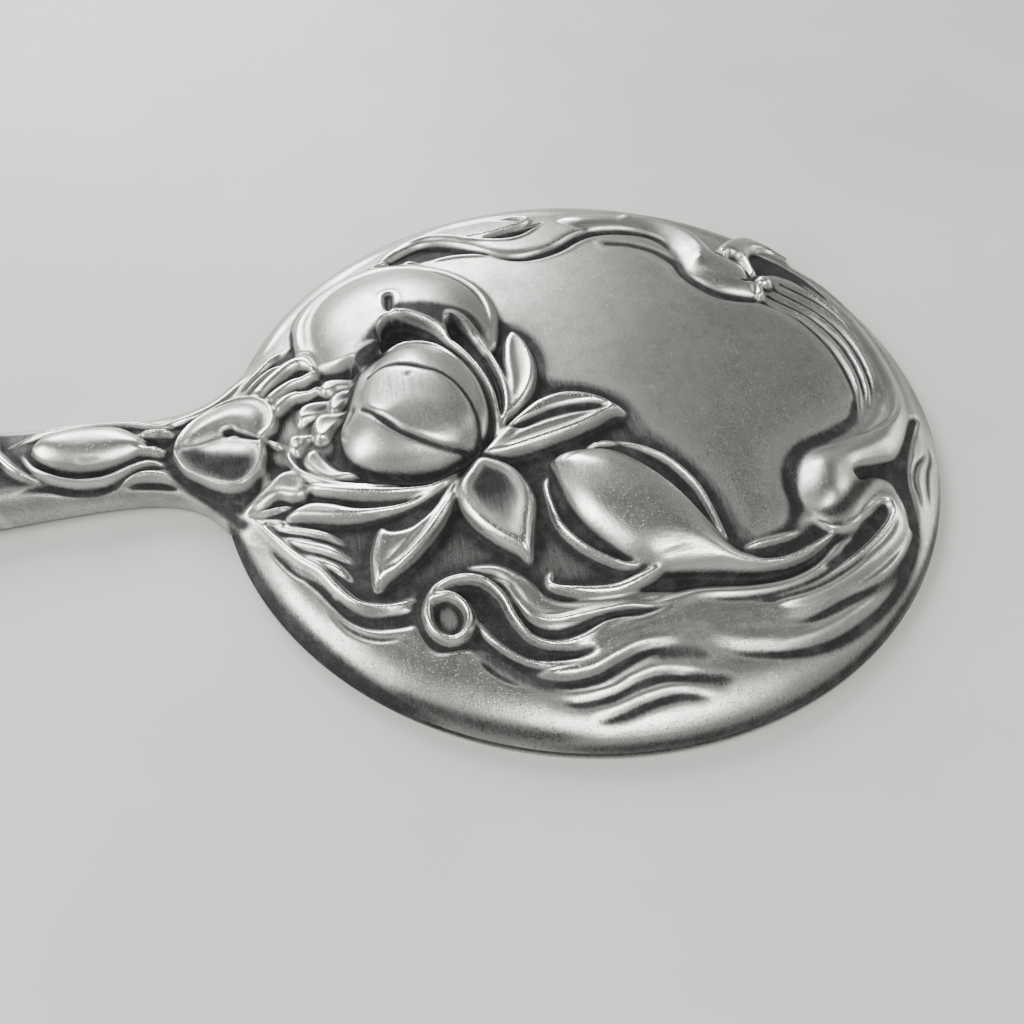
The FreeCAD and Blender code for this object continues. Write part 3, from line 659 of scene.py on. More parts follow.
def volute(r):
    """The fold at the lower right that rolls into a smooth bulb, with the tongue of water below it."""
    r.pillow([(56.9, 27), (57.6, 18), (57.2, 10), (56, -4), (54.4, -10), (51, -15), (46.6, -18.6),
              (41.8, -20.6), (37.3, -21.6), (33.1, -23.6), (30.3, -27.3), (29.2, -31), (30, -34.2),
              (32, -36), (34.6, -35.8), (38, -33.6), (40.4, -30.4), (40.8, -27.4), (42.6, -26.2),
              (46, -25.2), (50, -24), (54, -20.2), (57.6, -15), (59.6, -8), (60.4, 0), (60.4, 10),
              (59.2, 20)], -0.3, 2.1, edge=4.8, power=0.65, edge_tarnish=0.3, melt=1.2)
    r.hump([(34.8, -30.6), (35.4, -27)], 1.2, 4.4)
    r.groove([(58, -9), (55.2, -14), (51.4, -17.4), (47, -19), (42.6, -19.8)], 0.5, 0.4, 0.7)
    r.ground([(40.6, -27.2), (42, -26), (46, -25.3), (50, -24.2), (53.4, -21), (57.4, -16), (59.2, -15.4),
              (56, -19.6), (53.4, -23.4), (51.6, -26.6), (50.2, -30), (49, -34), (47.6, -37.4),
              (46.6, -37.6), (47.2, -34.6), (47.1, -31.8), (46.6, -29.2), (44.2, -27.8), (41.6, -28.2)],
             -1.0, 0.9)
    r.stain_and_shade([(46.3, -27.9), (43.1, -29.6), (36.9, -34.3), (34.1, -35.6), (31.7, -35.3), (30.5, -33.6),
             (32.8, -33.8), (36.2, -31.9), (38.5, -29.7), (41, -28.2), (44, -27.2)], 0.8, edge=1.8)
    # The tongue: a smooth flank on the right, a dark hollow on the left, and a bright lip round its tip.
    r.pillow([(43, -31.6), (45.4, -31.2), (46.6, -34), (46.4, -37.2), (44.4, -40.2), (40.6, -43),
              (35.6, -45.6), (29, -47.8), (22, -49), (18.6, -47.4), (26, -45.6), (31.9, -43.4), (40, -38.8),
              (42.4, -36.2)], -0.2, 1.5, edge=2.6, melt=0.7)
    r.ground([(43.2, -33.4), (40.4, -35), (38.2, -36.3), (34.4, -39.8), (32.6, -42), (36, -40.6),
              (41.6, -37), (43.4, -35.2)], -0.9, 0.95, edge=0.9)
    r.ridge([(36.3, -36.5), (40, -34.2), (43, -32.5), (44.5, -33), (44.3, -34.9), (42.8, -36.7),
             (40.3, -38.8), (36, -41.6), (31.5, -44), (26, -45.9)], 1.2, 1.7, level=0.2)
    r.ridge([(30, -34.9), (31.9, -36.7), (34.4, -37.2), (36.3, -36.4), (38.6, -35)], 1.2, 1.4)
    r.groove([(40, -39.4), (36.2, -42), (31.6, -44.4), (26, -46.5), (19.5, -47.4), (13.5, -47.2)], 0.8, 0.4,
             0.95)
    r.groove([(35.4, -38.6), (32, -41.6), (27.6, -43.6)], 1.4, 0.5, 0.85, fuzz=0.2)
    r.groove([(57.6, -21.2), (56.6, -23.4), (53.6, -25.8), (51.8, -28.6), (51.2, -32), (50.2, -36)], 0.8,
             0.3, 0.85)
    r.groove([(59, -19.6), (58, -23.6), (55.4, -27.2), (53.6, -31), (52.4, -35)], 0.7, 0.25, 0.75)


def right_folds(r):
    """The folds that follow the right-hand rim, all springing from the bead where the scroll ends."""
    r.ground([(42, 16.6), (46, 23), (52, 27), (57, 20), (58.6, 8), (58, -4), (54, -9), (50, -14), (47, -16),
              (49.4, -9), (50, 0), (48, 9)], -0.3, 0.15, edge=1.5)
    r.ridge([(57, 30), (58.6, 24), (59, 15), (58.6, 6), (57.4, -2), (55, -9), (51.4, -15)], 4.4, 1.3,
            level=-0.2)
    bands = [
        ([(43, 17.4), (47.3, 11.8), (50.2, 4.5), (50.9, -2.5), (50, -9), (47.8, -14.5)], 2.2),
        ([(45.4, 19.2), (49.6, 13.8), (52.5, 6.5), (53, -1), (52, -8.5), (49.3, -14.6)], 2.0),
        ([(47.2, 21.8), (52, 16), (54.8, 9), (55.4, 2), (54.4, -6), (52, -12)], 2.0),
        ([(50, 24), (54.4, 17.6), (56.4, 11), (56.8, 5)], 1.6),
    ]
    for points, width in bands:
        r.ridge(points, width, 1.4, level=-0.4)
    creases = [
        ([(43.4, 18.6), (48.5, 12.5), (51.5, 5), (52, -2), (51, -9), (48.5, -15)], 0.8),
        ([(45.6, 21), (50.5, 15), (53.5, 8), (54.2, 0), (53, -8), (50, -14)], 0.8),
        ([(48, 23.2), (53.2, 17), (55.6, 10), (56.2, 3)], 0.8),
        ([(51.4, 25.4), (55.4, 19), (57, 12)], 0.8),
    ]
    for points, width in creases:
        r.groove(points, width, 0.5, 0.9, taper="end")


def top_ribbons(r):
    """The ribbons along the upper rim: a long S with two dark hollows, which ends in the scroll."""
    r.ridge([(-58, 22), (-53, 32), (-46, 41), (-38, 47), (-30, 51.5)], 4.5, 0.6, power=1.0)
    r.ridge([(-37, 41.6), (-33, 43), (-29, 42.6), (-24, 40.4)], 1.5, 1.5, level=0.2, sides=0.4)
    r.ground([(-31, 42.8), (-28.6, 45.6), (-25, 47.8), (-20.8, 48), (-16.6, 45.8), (-13, 43.2),
              (-9.6, 40.6), (-14, 42), (-19.6, 42.8), (-25, 42)], -1.2, 0.95, edge=0.8)
    r.ridge([(-24, 40.6), (-18, 41.6), (-12, 40.8), (-8.6, 38.8)], 1.6, 0.9, level=-0.2)
    # The broad face of the S, then its two crests.
    r.pillow([(-33, 43.5), (-31, 48), (-26, 51), (-20, 51), (-14.6, 48.4), (-9, 46), (-4, 46), (0, 48.4),
              (5, 51.8), (12, 52.6), (21, 51.4), (27, 48.4), (31.6, 43.8), (34.6, 38.4), (35.4, 33),
              (33.4, 29.4), (31, 26.6), (29, 29), (28.6, 34), (27.6, 39), (24.6, 43), (19, 45.2), (13, 45),
              (8.4, 43), (4.4, 40), (0, 38.2), (-4.6, 38), (-9, 39.8), (-14, 44), (-19, 47), (-23.6, 48),
              (-28, 46)], -0.2, 1.5, edge=2.6, edge_tarnish=0.4)
    r.groove([(-10, 39.8), (-4.6, 37.6), (0, 37.8), (4.8, 39.8), (9, 42.8), (13, 44.6), (18, 44.9),
              (23.6, 43.2), (27, 39.6), (28.2, 34)], 1.3, 0.9, 0.85, fuzz=0.2)
    r.ridge([(-34.6, 42.4), (-31.6, 46.2), (-27.2, 49.2), (-22, 50.4), (-17.6, 49), (-13, 46.2), (-9, 44.4),
             (-5, 43.8), (-1.2, 45.2), (3, 49), (7.4, 51.6), (13, 51.8)], 2.0, 2.3, level=0.1)
    r.ground([(-10, 47.6), (-6, 49), (-1.6, 50), (3.6, 51.8), (1.6, 48.6), (-2, 46.4), (-5.6, 45.6)], -1.0,
             0.95, edge=0.7)
    r.ridge([(-20, 51.4), (-15.6, 49.4), (-11, 48.6), (-6.4, 49.8), (-2, 51.4), (0.6, 53.6), (-2, 55.4),
             (-8, 56.8)], 1.8, 1.7, sides=0.3)
    r.ridge([(-26, 53), (-18, 56.4), (-9, 58), (2, 58), (14, 56)], 3.0, 0.6, power=1.0)


def scroll(r):
    """The end of the S: it widens into a smooth pad, and a second ribbon curls over it to a bead."""
    r.pillow([(6, 51.6), (12, 52.4), (18, 52), (25, 49.8), (30.8, 46), (34.8, 41), (36.2, 36.4), (37, 33.4),
              (39, 31), (41.2, 28), (41.8, 24), (42.2, 20.6), (40.6, 17.6), (37, 18.2), (33, 20.4),
              (30, 23.6), (28.6, 27), (28.6, 31), (29, 35), (27.6, 39), (24.6, 42.4), (19.6, 44.8),
              (13, 45.4), (9, 46.6)], 0.1, 2.1, edge=4.0, power=0.65, edge_tarnish=0.3, melt=0.7)
    r.hump([(22, 49), (27.6, 46.4), (31.6, 42.4), (33.8, 38), (34, 33.6), (32, 29.6)], 0.7, 1.7)
    r.groove([(7.6, 51.4), (12, 52.6), (17, 52.8), (22, 51.8)], 1.6, 0.7, 0.85)
    r.ground([(43.2, 26), (43.2, 30), (44.8, 33.2), (47.4, 34.8), (50.6, 33.2), (53.6, 29.6), (56, 25),
              (57, 19), (54.4, 22.6), (51, 25), (47, 26.4)], -0.9, 0.85, edge=1.6)
    r.pillow([(55.4, 37), (52, 41.6), (47.4, 42), (43.4, 39.8), (39.6, 36.8), (37.4, 33.6), (38.4, 31.8),
              (40.4, 32.8), (41.8, 31.4), (41.8, 28), (40.6, 20.6), (39.8, 17.4), (41.4, 17), (42.6, 20.4),
              (43.7, 29.6), (44.9, 33.4), (47.6, 35.8), (51, 35.4), (54.2, 32)], 0.5, 1.5, edge=1.8,
             melt=0.3)
    r.ridge([(53.6, 38), (56.6, 32), (58.4, 26), (59.4, 20)], 3.0, 0.9)
    r.groove([(36.8, 36.4), (36.9, 33.6), (38, 31.4), (39.6, 29.8), (40.6, 28.4)], 1.4, 0.8, 0.9)
    r.groove([(37, 22.8), (38.4, 21.6), (40, 22), (40.7, 24.2), (41, 27)], 1.2, 0.6, 0.95)
    angles = np.radians(np.arange(0, 360, 45))
    ring = np.column_stack([np.cos(angles), np.sin(angles)])
    bead = np.array([43.7, 22.6])
    r.ground(bead + 2.4 * ring, -0.3, 0.85, edge=0.8)
    r.pillow(bead + 1.9 * ring, 0.0, 1.7, edge=1.9, power=0.5, soft=0.5)


def neck(r):
    """The small lily pad on the neck, the tarnished fold under it, and the ridges beside it."""
    r.ground([(-73, -3.6), (-71.6, -6.4), (-69, -9.4), (-66, -12), (-63, -15), (-60.5, -17.4),
              (-57.6, -15.6), (-56.4, -12), (-57, -6), (-58, 0), (-60, 6), (-65, 7.4), (-69, 5), (-72, 1)],
             -0.5, 0.45, edge=1.6)
    r.stain_and_shade([(-72.6, -5.4), (-70.4, -8.8), (-67, -12), (-63.4, -15.6), (-60, -19), (-57.6, -16.6),
             (-60.6, -13.2), (-64.4, -10.8), (-68.4, -8), (-71.2, -4.6)], 0.85, edge=1.8)
    r.ridge([(-76, 4.2), (-72, 4.8), (-68, 6.6), (-64.6, 9.2), (-61.6, 13), (-59, 17.6)], 2.2, 1.2,
            level=-0.1)
    r.groove([(-72.4, 3), (-70, 4), (-67.6, 5.6)], 0.8, 0.4, 0.85)
    r.petal([(-60, -16.4), (-56, -12.4), (-53.3, -10), (-50.3, -10.2), (-48.4, -12.8), (-49, -15.9),
             (-51.2, -16.3), (-54, -15.2), (-57, -16.8)], -0.3, 1.6, hollow=0.4, tarnish_and_shade=0.6,
            dark_from=(-52, -14.6), dark_reach=4.0)
    r.ridge([(-59.4, -17.6), (-55, -17), (-51.3, -17)], 1.2, 1.2, level=-0.3, sides=0.5)
    r.ridge([(-58.4, -18.8), (-55, -18.9), (-52, -20.4)], 1.2, 1.1, level=-0.3, sides=0.5)
    pad = [(-71, -3.4), (-70.6, -0.6), (-69, 2.6), (-66.6, 5.4), (-63.6, 7.6), (-60.4, 8.6), (-57.4, 8),
           (-55, 5.8), (-53.8, 2.6), (-54, -0.2), (-55.8, -2.6), (-55.8, -6), (-56.4, -9.2), (-58.6, -11.8),
           (-61.4, -12), (-64, -10.8), (-66.6, -9), (-69.4, -6.8)]
    r.pillow(pad, 0.2, 1.2, edge=1.4)
    rolled = [(-62.5 + 0.94 * (px + 62.5), -1.5 + 0.94 * (py + 1.5)) for px, py in pad]
    r.ridge(rolled + rolled[:1], 1.2, 2.1, level=0.3, taper="none")
    r.pillow([(-69.8, -1.4), (-68.4, 2), (-65.6, 4.8), (-61.6, 6.6), (-58, 5.8), (-55.9, 3.4), (-55.8, 0.4),
              (-57.4, -2.4), (-61, -1.4), (-65, -2.2), (-68, -3)], 1.2, 2.0, edge=6.0, power=0.8, soft=1.6,
             melt=0.7)
    r.pillow([(-69.8, -3), (-66, -2.6), (-62.4, -1.6), (-58.6, -3), (-57, -5), (-57.2, -8.6),
              (-59.4, -10.4), (-62.6, -9.8), (-66.4, -8), (-69.2, -5.4)], 1.1, 1.3, edge=4.0, power=0.8,
             soft=1.6, melt=0.7)
    r.groove([(-69.4, 0.4), (-67.2, 4), (-63.6, 6.6), (-60, 7.4), (-57, 6.6), (-54.9, 3.6), (-54.9, 0.6)],
             0.7, 0.4, 0.4)
    # Darker over the lower lobe of the pad.
    r.stain_and_shade([(-70, -3.6), (-68, -7), (-64, -9.8), (-60.4, -11.4), (-58, -10), (-57.2, -7), (-60.4, -6),
             (-64, -5.2), (-67, -3)], 0.8, edge=3.0)
    r.groove([(-60.8, -0.9), (-58.8, -2), (-56.2, -3.1)], 0.55, 0.7, 0.95, taper="none")
    r.groove([(-62, -0.8), (-61.2, -0.7)], 1.0, 0.9, 0.95, taper="none")


POD_X = -83.0              # the middle of the first pod
SMALL_PAD = [(-5.6, 0.4), (-3.6, 4.4), (0.6, 5.6), (4.6, 3.6), (5.8, -0.6), (3.6, -1.4), (4.6, -4),
             (0.4, -5.4), (-3.8, -4.2)]


def pod(r, shift, length):
    """A lily pod with the stems and creases round it, further along the handle than the first, and longer."""
    def at(points):
        """The first pod's points, moved along the handle and stretched."""
        return [(POD_X + shift + (px - POD_X) * length, py * length) for px, py in points]

    # Two stems and their creases pass under the pod, and a split leaf lies along the near edge.
    r.ridge(at([(-80.6, -7.2), (-77, -6.2), (-73.6, -6.4), (-70.4, -8), (-67.8, -9.8)]), 1.7, 1.3,
            level=-0.1)
    r.groove(at([(-79.8, -7.5), (-76.6, -7.5), (-73, -8.1), (-69.6, -9.3)]), 0.8, 0.6, 0.9)
    r.groove(at([(-97.5, -7.6), (-94.4, -6.7), (-91, -6.7), (-88, -7.2), (-84, -7.4), (-80.6, -6.8),
                 (-78, -5.6), (-75.6, -5), (-72.6, -5.6)]), 1.0, 0.5, 0.85, fuzz=0.2)
    r.ridge(at([(-95.4, -0.4), (-93.4, -3.2), (-90.6, -5.1), (-87, -6.2), (-84, -6.4), (-81, -6),
                (-76, -4.1), (-73.4, -4.2), (-71.4, -5.4)]), 1.5, 1.7)
    r.groove(at([(-94, 0.4), (-93.2, -1.9), (-91, -3.8), (-88.4, -5.1), (-85, -5.5), (-81, -5.2),
                 (-75, -3.3), (-72, -3.3)]), 0.9, 0.7, 0.95)
    r.ridge(at([(-71, 3.6), (-75, 4.4), (-80, 6), (-87, 6.4), (-93, 4.6), (-98, 1.6)]), 1.6, 1.5,
            level=-0.1)
    r.groove(at([(-77, 3.6), (-81, 5), (-87, 5.4), (-92, 3.6)]), 0.9, 0.5, 0.85)
    r.ridge(at([(-78, 1.2), (-75.6, 2.1), (-72.6, 2), (-70.2, 1)]), 1.5, 1.8)
    r.pillow(at([(-93.7, 0.5), (-91.8, 3), (-87, 4.6), (-81, 4.4), (-77.4, 2), (-74.8, -1), (-77.6, -3.3),
                 (-81, -4.6), (-85, -4.9), (-88.6, -4.3), (-91.6, -2.8), (-93.4, -0.9)]), 0.3, 2.3,
             edge=4.5, power=0.55, melt=0.7)
    r.groove(at([(-86.4, -3.5), (-84.6, -3.8), (-82, -3.5)]), 0.5, 0.3, 0.6)
    r.ridge(at([(-79, -1.6), (-73, -2.2), (-70.4, -1.4)]), 1.7, 2.1, level=0.1)
    r.ground(at([(-75.8, -0.2), (-74, 0.9), (-71.6, 0.9), (-70.8, -0.2), (-72.2, -0.9), (-74.6, -0.9)]),
             -0.8, 0.95, edge=0.6)
    r.ridge(at([(-92, -5.6), (-95.6, -3.8), (-99, 0), (-102, 4)]), 1.7, 1.6, level=-0.1, sides=0.4)


def small_pad(r, x, size):
    """A small lily pad between the pods."""
    outline = [(x + size * px, size * py) for px, py in SMALL_PAD]
    r.petal(outline, 0.1, 1.9, rim=1.3, hollow=0.35, tarnish_and_shade=0.7, dark_from=(x, -3 * size), dark_reach=7.0)
    middle = [(x + 0.62 * (px - x), 0.62 * py + 0.6) for px, py in outline]
    r.pillow(middle, 0.5, 2.2, edge=3.0, power=0.6)


def handle_back(r):
    """Lily pods, pads and crossing stems down the handle, between two plain rolled edges."""
    r.ground([(-71, -5), (-76, -5.6), (-84, -6), (-95, -6.2), (-106, -6.8), (-145, -9.2), (-160, -9.4),
              (-170, -8), (-176, 0), (-170, 8), (-160, 9.4), (-145, 9.2), (-106, 6.8), (-95, 6.2), (-84, 6),
              (-76, 5.6), (-70, 4), (-69, 0)], -0.45, 0.5, edge=2.0)
    for shift, length in ((0.0, 1.0), (-31.0, 1.1), (-62.0, 1.15)):
        pod(r, shift, length)
    for x, size in ((-104.5, 1.0), (-137.0, 1.12)):
        small_pad(r, x, size)
    r.pillow([(-180, 0), (-176, 5), (-170, 6), (-165, 3.4), (-162, 0), (-165, -3.4), (-170, -6),
              (-176, -5)], -0.2, 2.0, edge=5.0, power=0.6, edge_tarnish=0.4)
    r.groove([(-162.5, 0), (-168, 0.8), (-174, 0.4)], 0.6, 0.5, 0.7)


STRUCK_SOFTNESS = 0.25
STAIN_SOFTNESS = 0.2
NEAR_HOLLOW, WIDE_HOLLOW = 0.9, 2.2     # reach over which a point is compared with its surroundings
FINE_CREST, BROAD_CREST = 0.7, 1.6


def make_relief():
    """The whole design, each region laid over the last, with its oxidised hollows, painted shade and polish.
    """
    r = Relief()
    for region in (grounds, bottom_water, top_ribbons, right_folds, scroll, volute, lily_pad, handle_back,
                   left_cluster, neck, long_petals, open_petals, side_bud, tendril, bud):
        region(r)
    # Struck metal has no knife edges.
    r.rise = gaussian(r.rise, STRUCK_SOFTNESS)
    r.tarnish_and_shade = gaussian(r.tarnish_and_shade, STAIN_SOFTNESS)
    r.left_dark = gaussian(r.left_dark, STRUCK_SOFTNESS)
    # Tarnish settles wherever the surface lies below its surroundings, and polish clears what stands up.
    near = gaussian(r.rise, NEAR_HOLLOW) - r.rise
    wide = gaussian(r.rise, WIDE_HOLLOW) - r.rise
    r.tarnish_and_shade = np.clip(r.tarnish_and_shade + 0.9 * np.clip(near, 0, 1) + 0.3 * np.clip(wide, 0, 1)
                        - 1.6 * np.clip(-near, 0, 1) - 0.25 * np.clip(-wide, 0, 1), 0, 1)
    # What was kept dark, unpolished tarnishing and painted shade alike, goes back on over the polish.
    r.tarnish_and_shade = np.maximum(r.tarnish_and_shade, r.left_dark)
    fine = r.rise - gaussian(r.rise, FINE_CREST)
    broad = r.rise - gaussian(r.rise, BROAD_CREST)
    crest = np.clip(1.8 * fine + 0.6 * broad, 0, 1)
    r.polish = gaussian(crest * (1 - r.tarnish_and_shade), 0.3)
    return r


relief = make_relief()


def sample(field, x, y):
    """Values of a raster field at scattered points, by bilinear blending."""
    fx = np.clip((x - grid_x[0]) / PITCH, 0, len(grid_x) - 1.001)
    fy = np.clip((y - grid_y[0]) / PITCH, 0, len(grid_y) - 1.001)
    i, j = fx.astype(int), fy.astype(int)
    a, b = fx - i, fy - j
    return ((field[i, j] * (1 - b) + field[i, j + 1] * b) * (1 - a)
            + (field[i + 1, j] * (1 - b) + field[i + 1, j + 1] * b) * a)


# ---- Meshes ------------------------------------------------------------------------------------------

def add_mesh(name, points, faces):
    """A smooth-shaded mesh object from points in millimetres."""
    mesh = bpy.data.meshes.new(name)
    mesh.from_pydata((np.asarray(points) * MM).tolist(), [], faces)
    mesh.validate()
    mesh.polygons.foreach_set("use_smooth", [True] * len(mesh.polygons))
    mesh.update()
    obj = bpy.data.objects.new(name, mesh)
    bpy.context.scene.collection.objects.link(obj)
    return obj


def paint(obj, name, values):
    """Stores a value at every vertex for the material to read."""
    layer = obj.data.attributes.new(name, "FLOAT", "POINT")
    layer.data.foreach_set("value", np.asarray(values, np.float32))


def quads(index):
    """Faces over a grid of vertex indices."""
    a, b, c, d = index[:-1, :-1], index[1:, :-1], index[1:, 1:], index[:-1, 1:]
    return np.stack([a, b, c, d], axis=-1).reshape(-1, 4)


HEAD_CELLS = 460
HANDLE_ROWS = 420
FRONT_ROWS = 200
FRONT_COLUMNS = 72
RING_TURNS = 720
RIM_CROWDING = 2.6         # how many times closer the rows lie at the rim than in the middle
CROWDED_FROM = 0.9         # share of the radius where they start to close up
TIP_FROM = 0.82            # share of the handle's rows where they start to bow round the tip
LEAVE_RATE = 9             # how fast the rows leave the arc of the head and turn straight
ROW_EASE = 1.04            # above 1, the rows lie a little closer towards the tip
FLARE = 5.0                # length beyond the neck over which the sides still open out into the head
NO_PITCH = -100.0
RELIEF_FADE = 1.6          # the relief runs out to nothing over this distance from the outline
LIP_DROP = 0.12            # the narrow return of the sheet under its own edge
LIP_INSET = 0.1
BEAD = BEAD_REACH - RIM_RADIUS + 0.25   # radius of the bead round the front
WALL = 0.8                 # thickness of the sheet in the front ring
GLASS_GAP = 0.7            # between the glass and the front ring, where the bezel strip sits
SCORE_INSET = 1.6          # from the ring's inner edge to the line scored round it
REED_INSET = 2.6           # from the handle's edge to the furrow of its reeded line,
REED_RIDGE_INSET = 1.7     # and to the ridge beside the furrow
REEDS_FROM = -70.0


def head_points():
    """A square grid pressed into a disc, with its rows crowded towards the rim, where it turns over."""
    u = np.linspace(-1, 1, HEAD_CELLS + 1)
    u, v = np.meshgrid(u, u, indexing="ij")
    x, y = u * np.sqrt(1 - v * v / 2), v * np.sqrt(1 - u * u / 2)
    share = np.hypot(x, y)
    steps = np.linspace(0, 1, 400)
    density = 1 + (RIM_CROWDING - 1) * smooth((steps - CROWDED_FROM) / (1 - CROWDED_FROM))
    spread = np.concatenate([[0], np.cumsum(1 / density)])[:-1]
    crowded = np.interp(share, steps, spread / spread[-1])
    scale = RIM_RADIUS * np.where(share > 0, crowded / np.maximum(share, 1e-9), 1.0)
    return x * scale, y * scale


def handle_points(start_y, rows):
    """Rows across the handle, from an arc of the head's outline to the rounded tip."""
    top = abs(start_y[0])
    v = start_y / top
    start_x = -math.sqrt(RIM_RADIUS**2 - top**2)
    bulge = np.sqrt(RIM_RADIUS**2 - start_y**2) + start_x
    share = np.linspace(0, 1, rows + 1)[:, None]
    along = 1 - (1 - share) ** ROW_EASE
    line = start_x + (CAP_X - start_x) * along
    leave = smooth(share * LEAVE_RATE)
    cap = smooth((share - TIP_FROM) / (1 - TIP_FROM))
    x = line - (1 - leave) * bulge - cap * CAP_LENGTH * np.cos(v * math.pi / 2)
    spread = v * (1 - leave) + np.sin(v * math.pi / 2) * leave
    shoulder = np.interp(-line, [-start_x, -NECK_X], [top, NECK_WIDTH])
    width = np.where(line > NECK_X + 1.5, shoulder, half_width(line))
    return x, width * spread


def pitch_top(x, y):
    """Height of the pitch filling under each point, far below the sheet where there is none."""
    top = np.full(x.size, NO_PITCH)
    graph = bpy.context.evaluated_depsgraph_get()
    for node in ("head_filler", "handle_filler"):
        low, high = cad_span(node)
        tree = BVHTree.FromObject(frame["nodes"][node], graph)
        over = (x > low[0]) & (x < high[0]) & (np.abs(y) < high[1])
        for i in np.flatnonzero(over):
            hit = tree.ray_cast(Vector((x[i] * MM, y[i] * MM, 1.0)), Vector((0, 0, -1)))[0]
            if hit is not None:
                top[i] = max(top[i], hit.z / MM)
    return top


def inward_from_edge(x, y):
    """Distance of each point in from the outline of the head and handle together."""
    from_rim = RIM_RADIUS - np.hypot(x, y)
    from_side = half_width(x) - np.abs(y)
    beside_neck = np.where(x < NECK_X + FLARE, from_side, -1)
    return np.where(x < NECK_X, from_side, np.maximum(from_rim, beside_neck))


def back_plate():
    """The chased back: head and handle in one sheet, with a narrow return at the seam."""
    head_x, head_y = head_points()
    mouth = np.where(np.abs(head_y[0]) <= NECK_HALF)[0]
    handle_x, handle_y = handle_points(head_y[0, mouth], HANDLE_ROWS)
    x = np.concatenate([head_x.ravel(), handle_x[1:].ravel()])
    y = np.concatenate([head_y.ravel(), handle_y[1:].ravel()])
    head_index = np.arange(head_x.size).reshape(head_x.shape)
    rows = np.arange(handle_x[1:].size).reshape(handle_x[1:].shape) + head_x.size
    handle_index = np.vstack([head_index[0, mouth], rows])
    # The outline: from one side of the neck round the head to the other, then round the handle and back.
    loop = np.concatenate([
        head_index[0, mouth[-1]:], head_index[1:, -1], head_index[-1, -2::-1], head_index[-2::-1, 0],
        head_index[0, 1:mouth[0] + 1], rows[:, 0], rows[-1, 1:], rows[-2::-1, -1],
    ])
    plain = base_height(x, y)
    fade = smooth(inward_from_edge(x, y) / RELIEF_FADE)
    # The hollows stay clear of the board and the pitch behind them.
    deepest = np.clip(plain - BOARD_TOP - CLEARANCE, SHALLOWEST, DEEPEST)
    z = plain + np.maximum(sample(relief.rise, x, y), -deepest) * fade
    z[loop] = SEAM_Z
    z = np.maximum(z, pitch_top(x, y) + CLEARANCE)
    points = np.column_stack([x, y, np.maximum(z, SEAM_Z)])
    outward = points[loop, :2] / np.maximum(np.hypot(*points[loop, :2].T), 1)[:, None]
    lip = points[loop].copy()
    lip[:, 2] -= LIP_DROP
    lip[:, :2] -= outward * LIP_INSET
    first = len(points)
    under = np.arange(first, first + len(loop))
    skirt = quads(np.column_stack([np.append(loop, loop[0]), np.append(under, under[0])]).T)
    faces = np.vstack([quads(head_index)[:, ::-1], quads(handle_index), skirt])
    obj = add_mesh("back_plate", np.vstack([points, lip]), faces.tolist())
    for name, field in (("tarnish_and_shade", relief.tarnish_and_shade), ("polish", relief.polish)):
        value = sample(field, x, y)
        paint(obj, name, np.concatenate([value, value[loop]]))
    return obj


back = back_plate()


def front_section(x, y):
    """Depth of the front of the handle below the seam."""
    return FRONT_DROP * np.minimum(1, half_width(x) / FULL_WIDTH) * section(x, y)


def revolve(profile, count):
    """Points and faces of a closed ring turned about Z from (radius, z) points."""
    angles = np.linspace(0, 2 * math.pi, count, endpoint=False)
    profile = np.array(profile)
    x = np.outer(np.cos(angles), profile[:, 0])
    y = np.outer(np.sin(angles), profile[:, 0])
    z = np.tile(profile[:, 1], (count, 1))
    index = np.arange(x.size).reshape(x.shape)
    index = np.vstack([index, index[:1]])
    index = np.column_stack([index, index[:, :1]])
    return np.column_stack([x.ravel(), y.ravel(), z.ravel()]), quads(index)


def rim_profile():
    """Section of the ring round the glass, as (radius, z): wall, bead, flat with a scored line, edge."""
    wall = RIM_RADIUS - WALL
    top = SEAM_Z - SEAM_GAP
    profile = [(wall, top), (RIM_RADIUS - SEAM_GAP, top), (RIM_RADIUS - 0.05, SEAM_Z - 0.2),
               (RIM_RADIUS - 0.1, 2 * BEAD + 0.15)]
    middle = BEAD_REACH - BEAD
    for angle in np.radians(np.linspace(75, -90, 12)):
        profile.append((middle + BEAD * math.cos(angle), BEAD + BEAD * math.sin(angle)))
    inner = GLASS_RADIUS + GLASS_GAP
    scored = inner + SCORE_INSET
    return profile + [(middle - 0.5, 0.05), (scored + 0.25, 0.05), (scored, 0.22), (scored - 0.25, 0.05),
                      (inner + 0.3, 0.02), (inner + 0.05, 0.12), (inner, 0.3), (inner, WALL), (wall, WALL)]


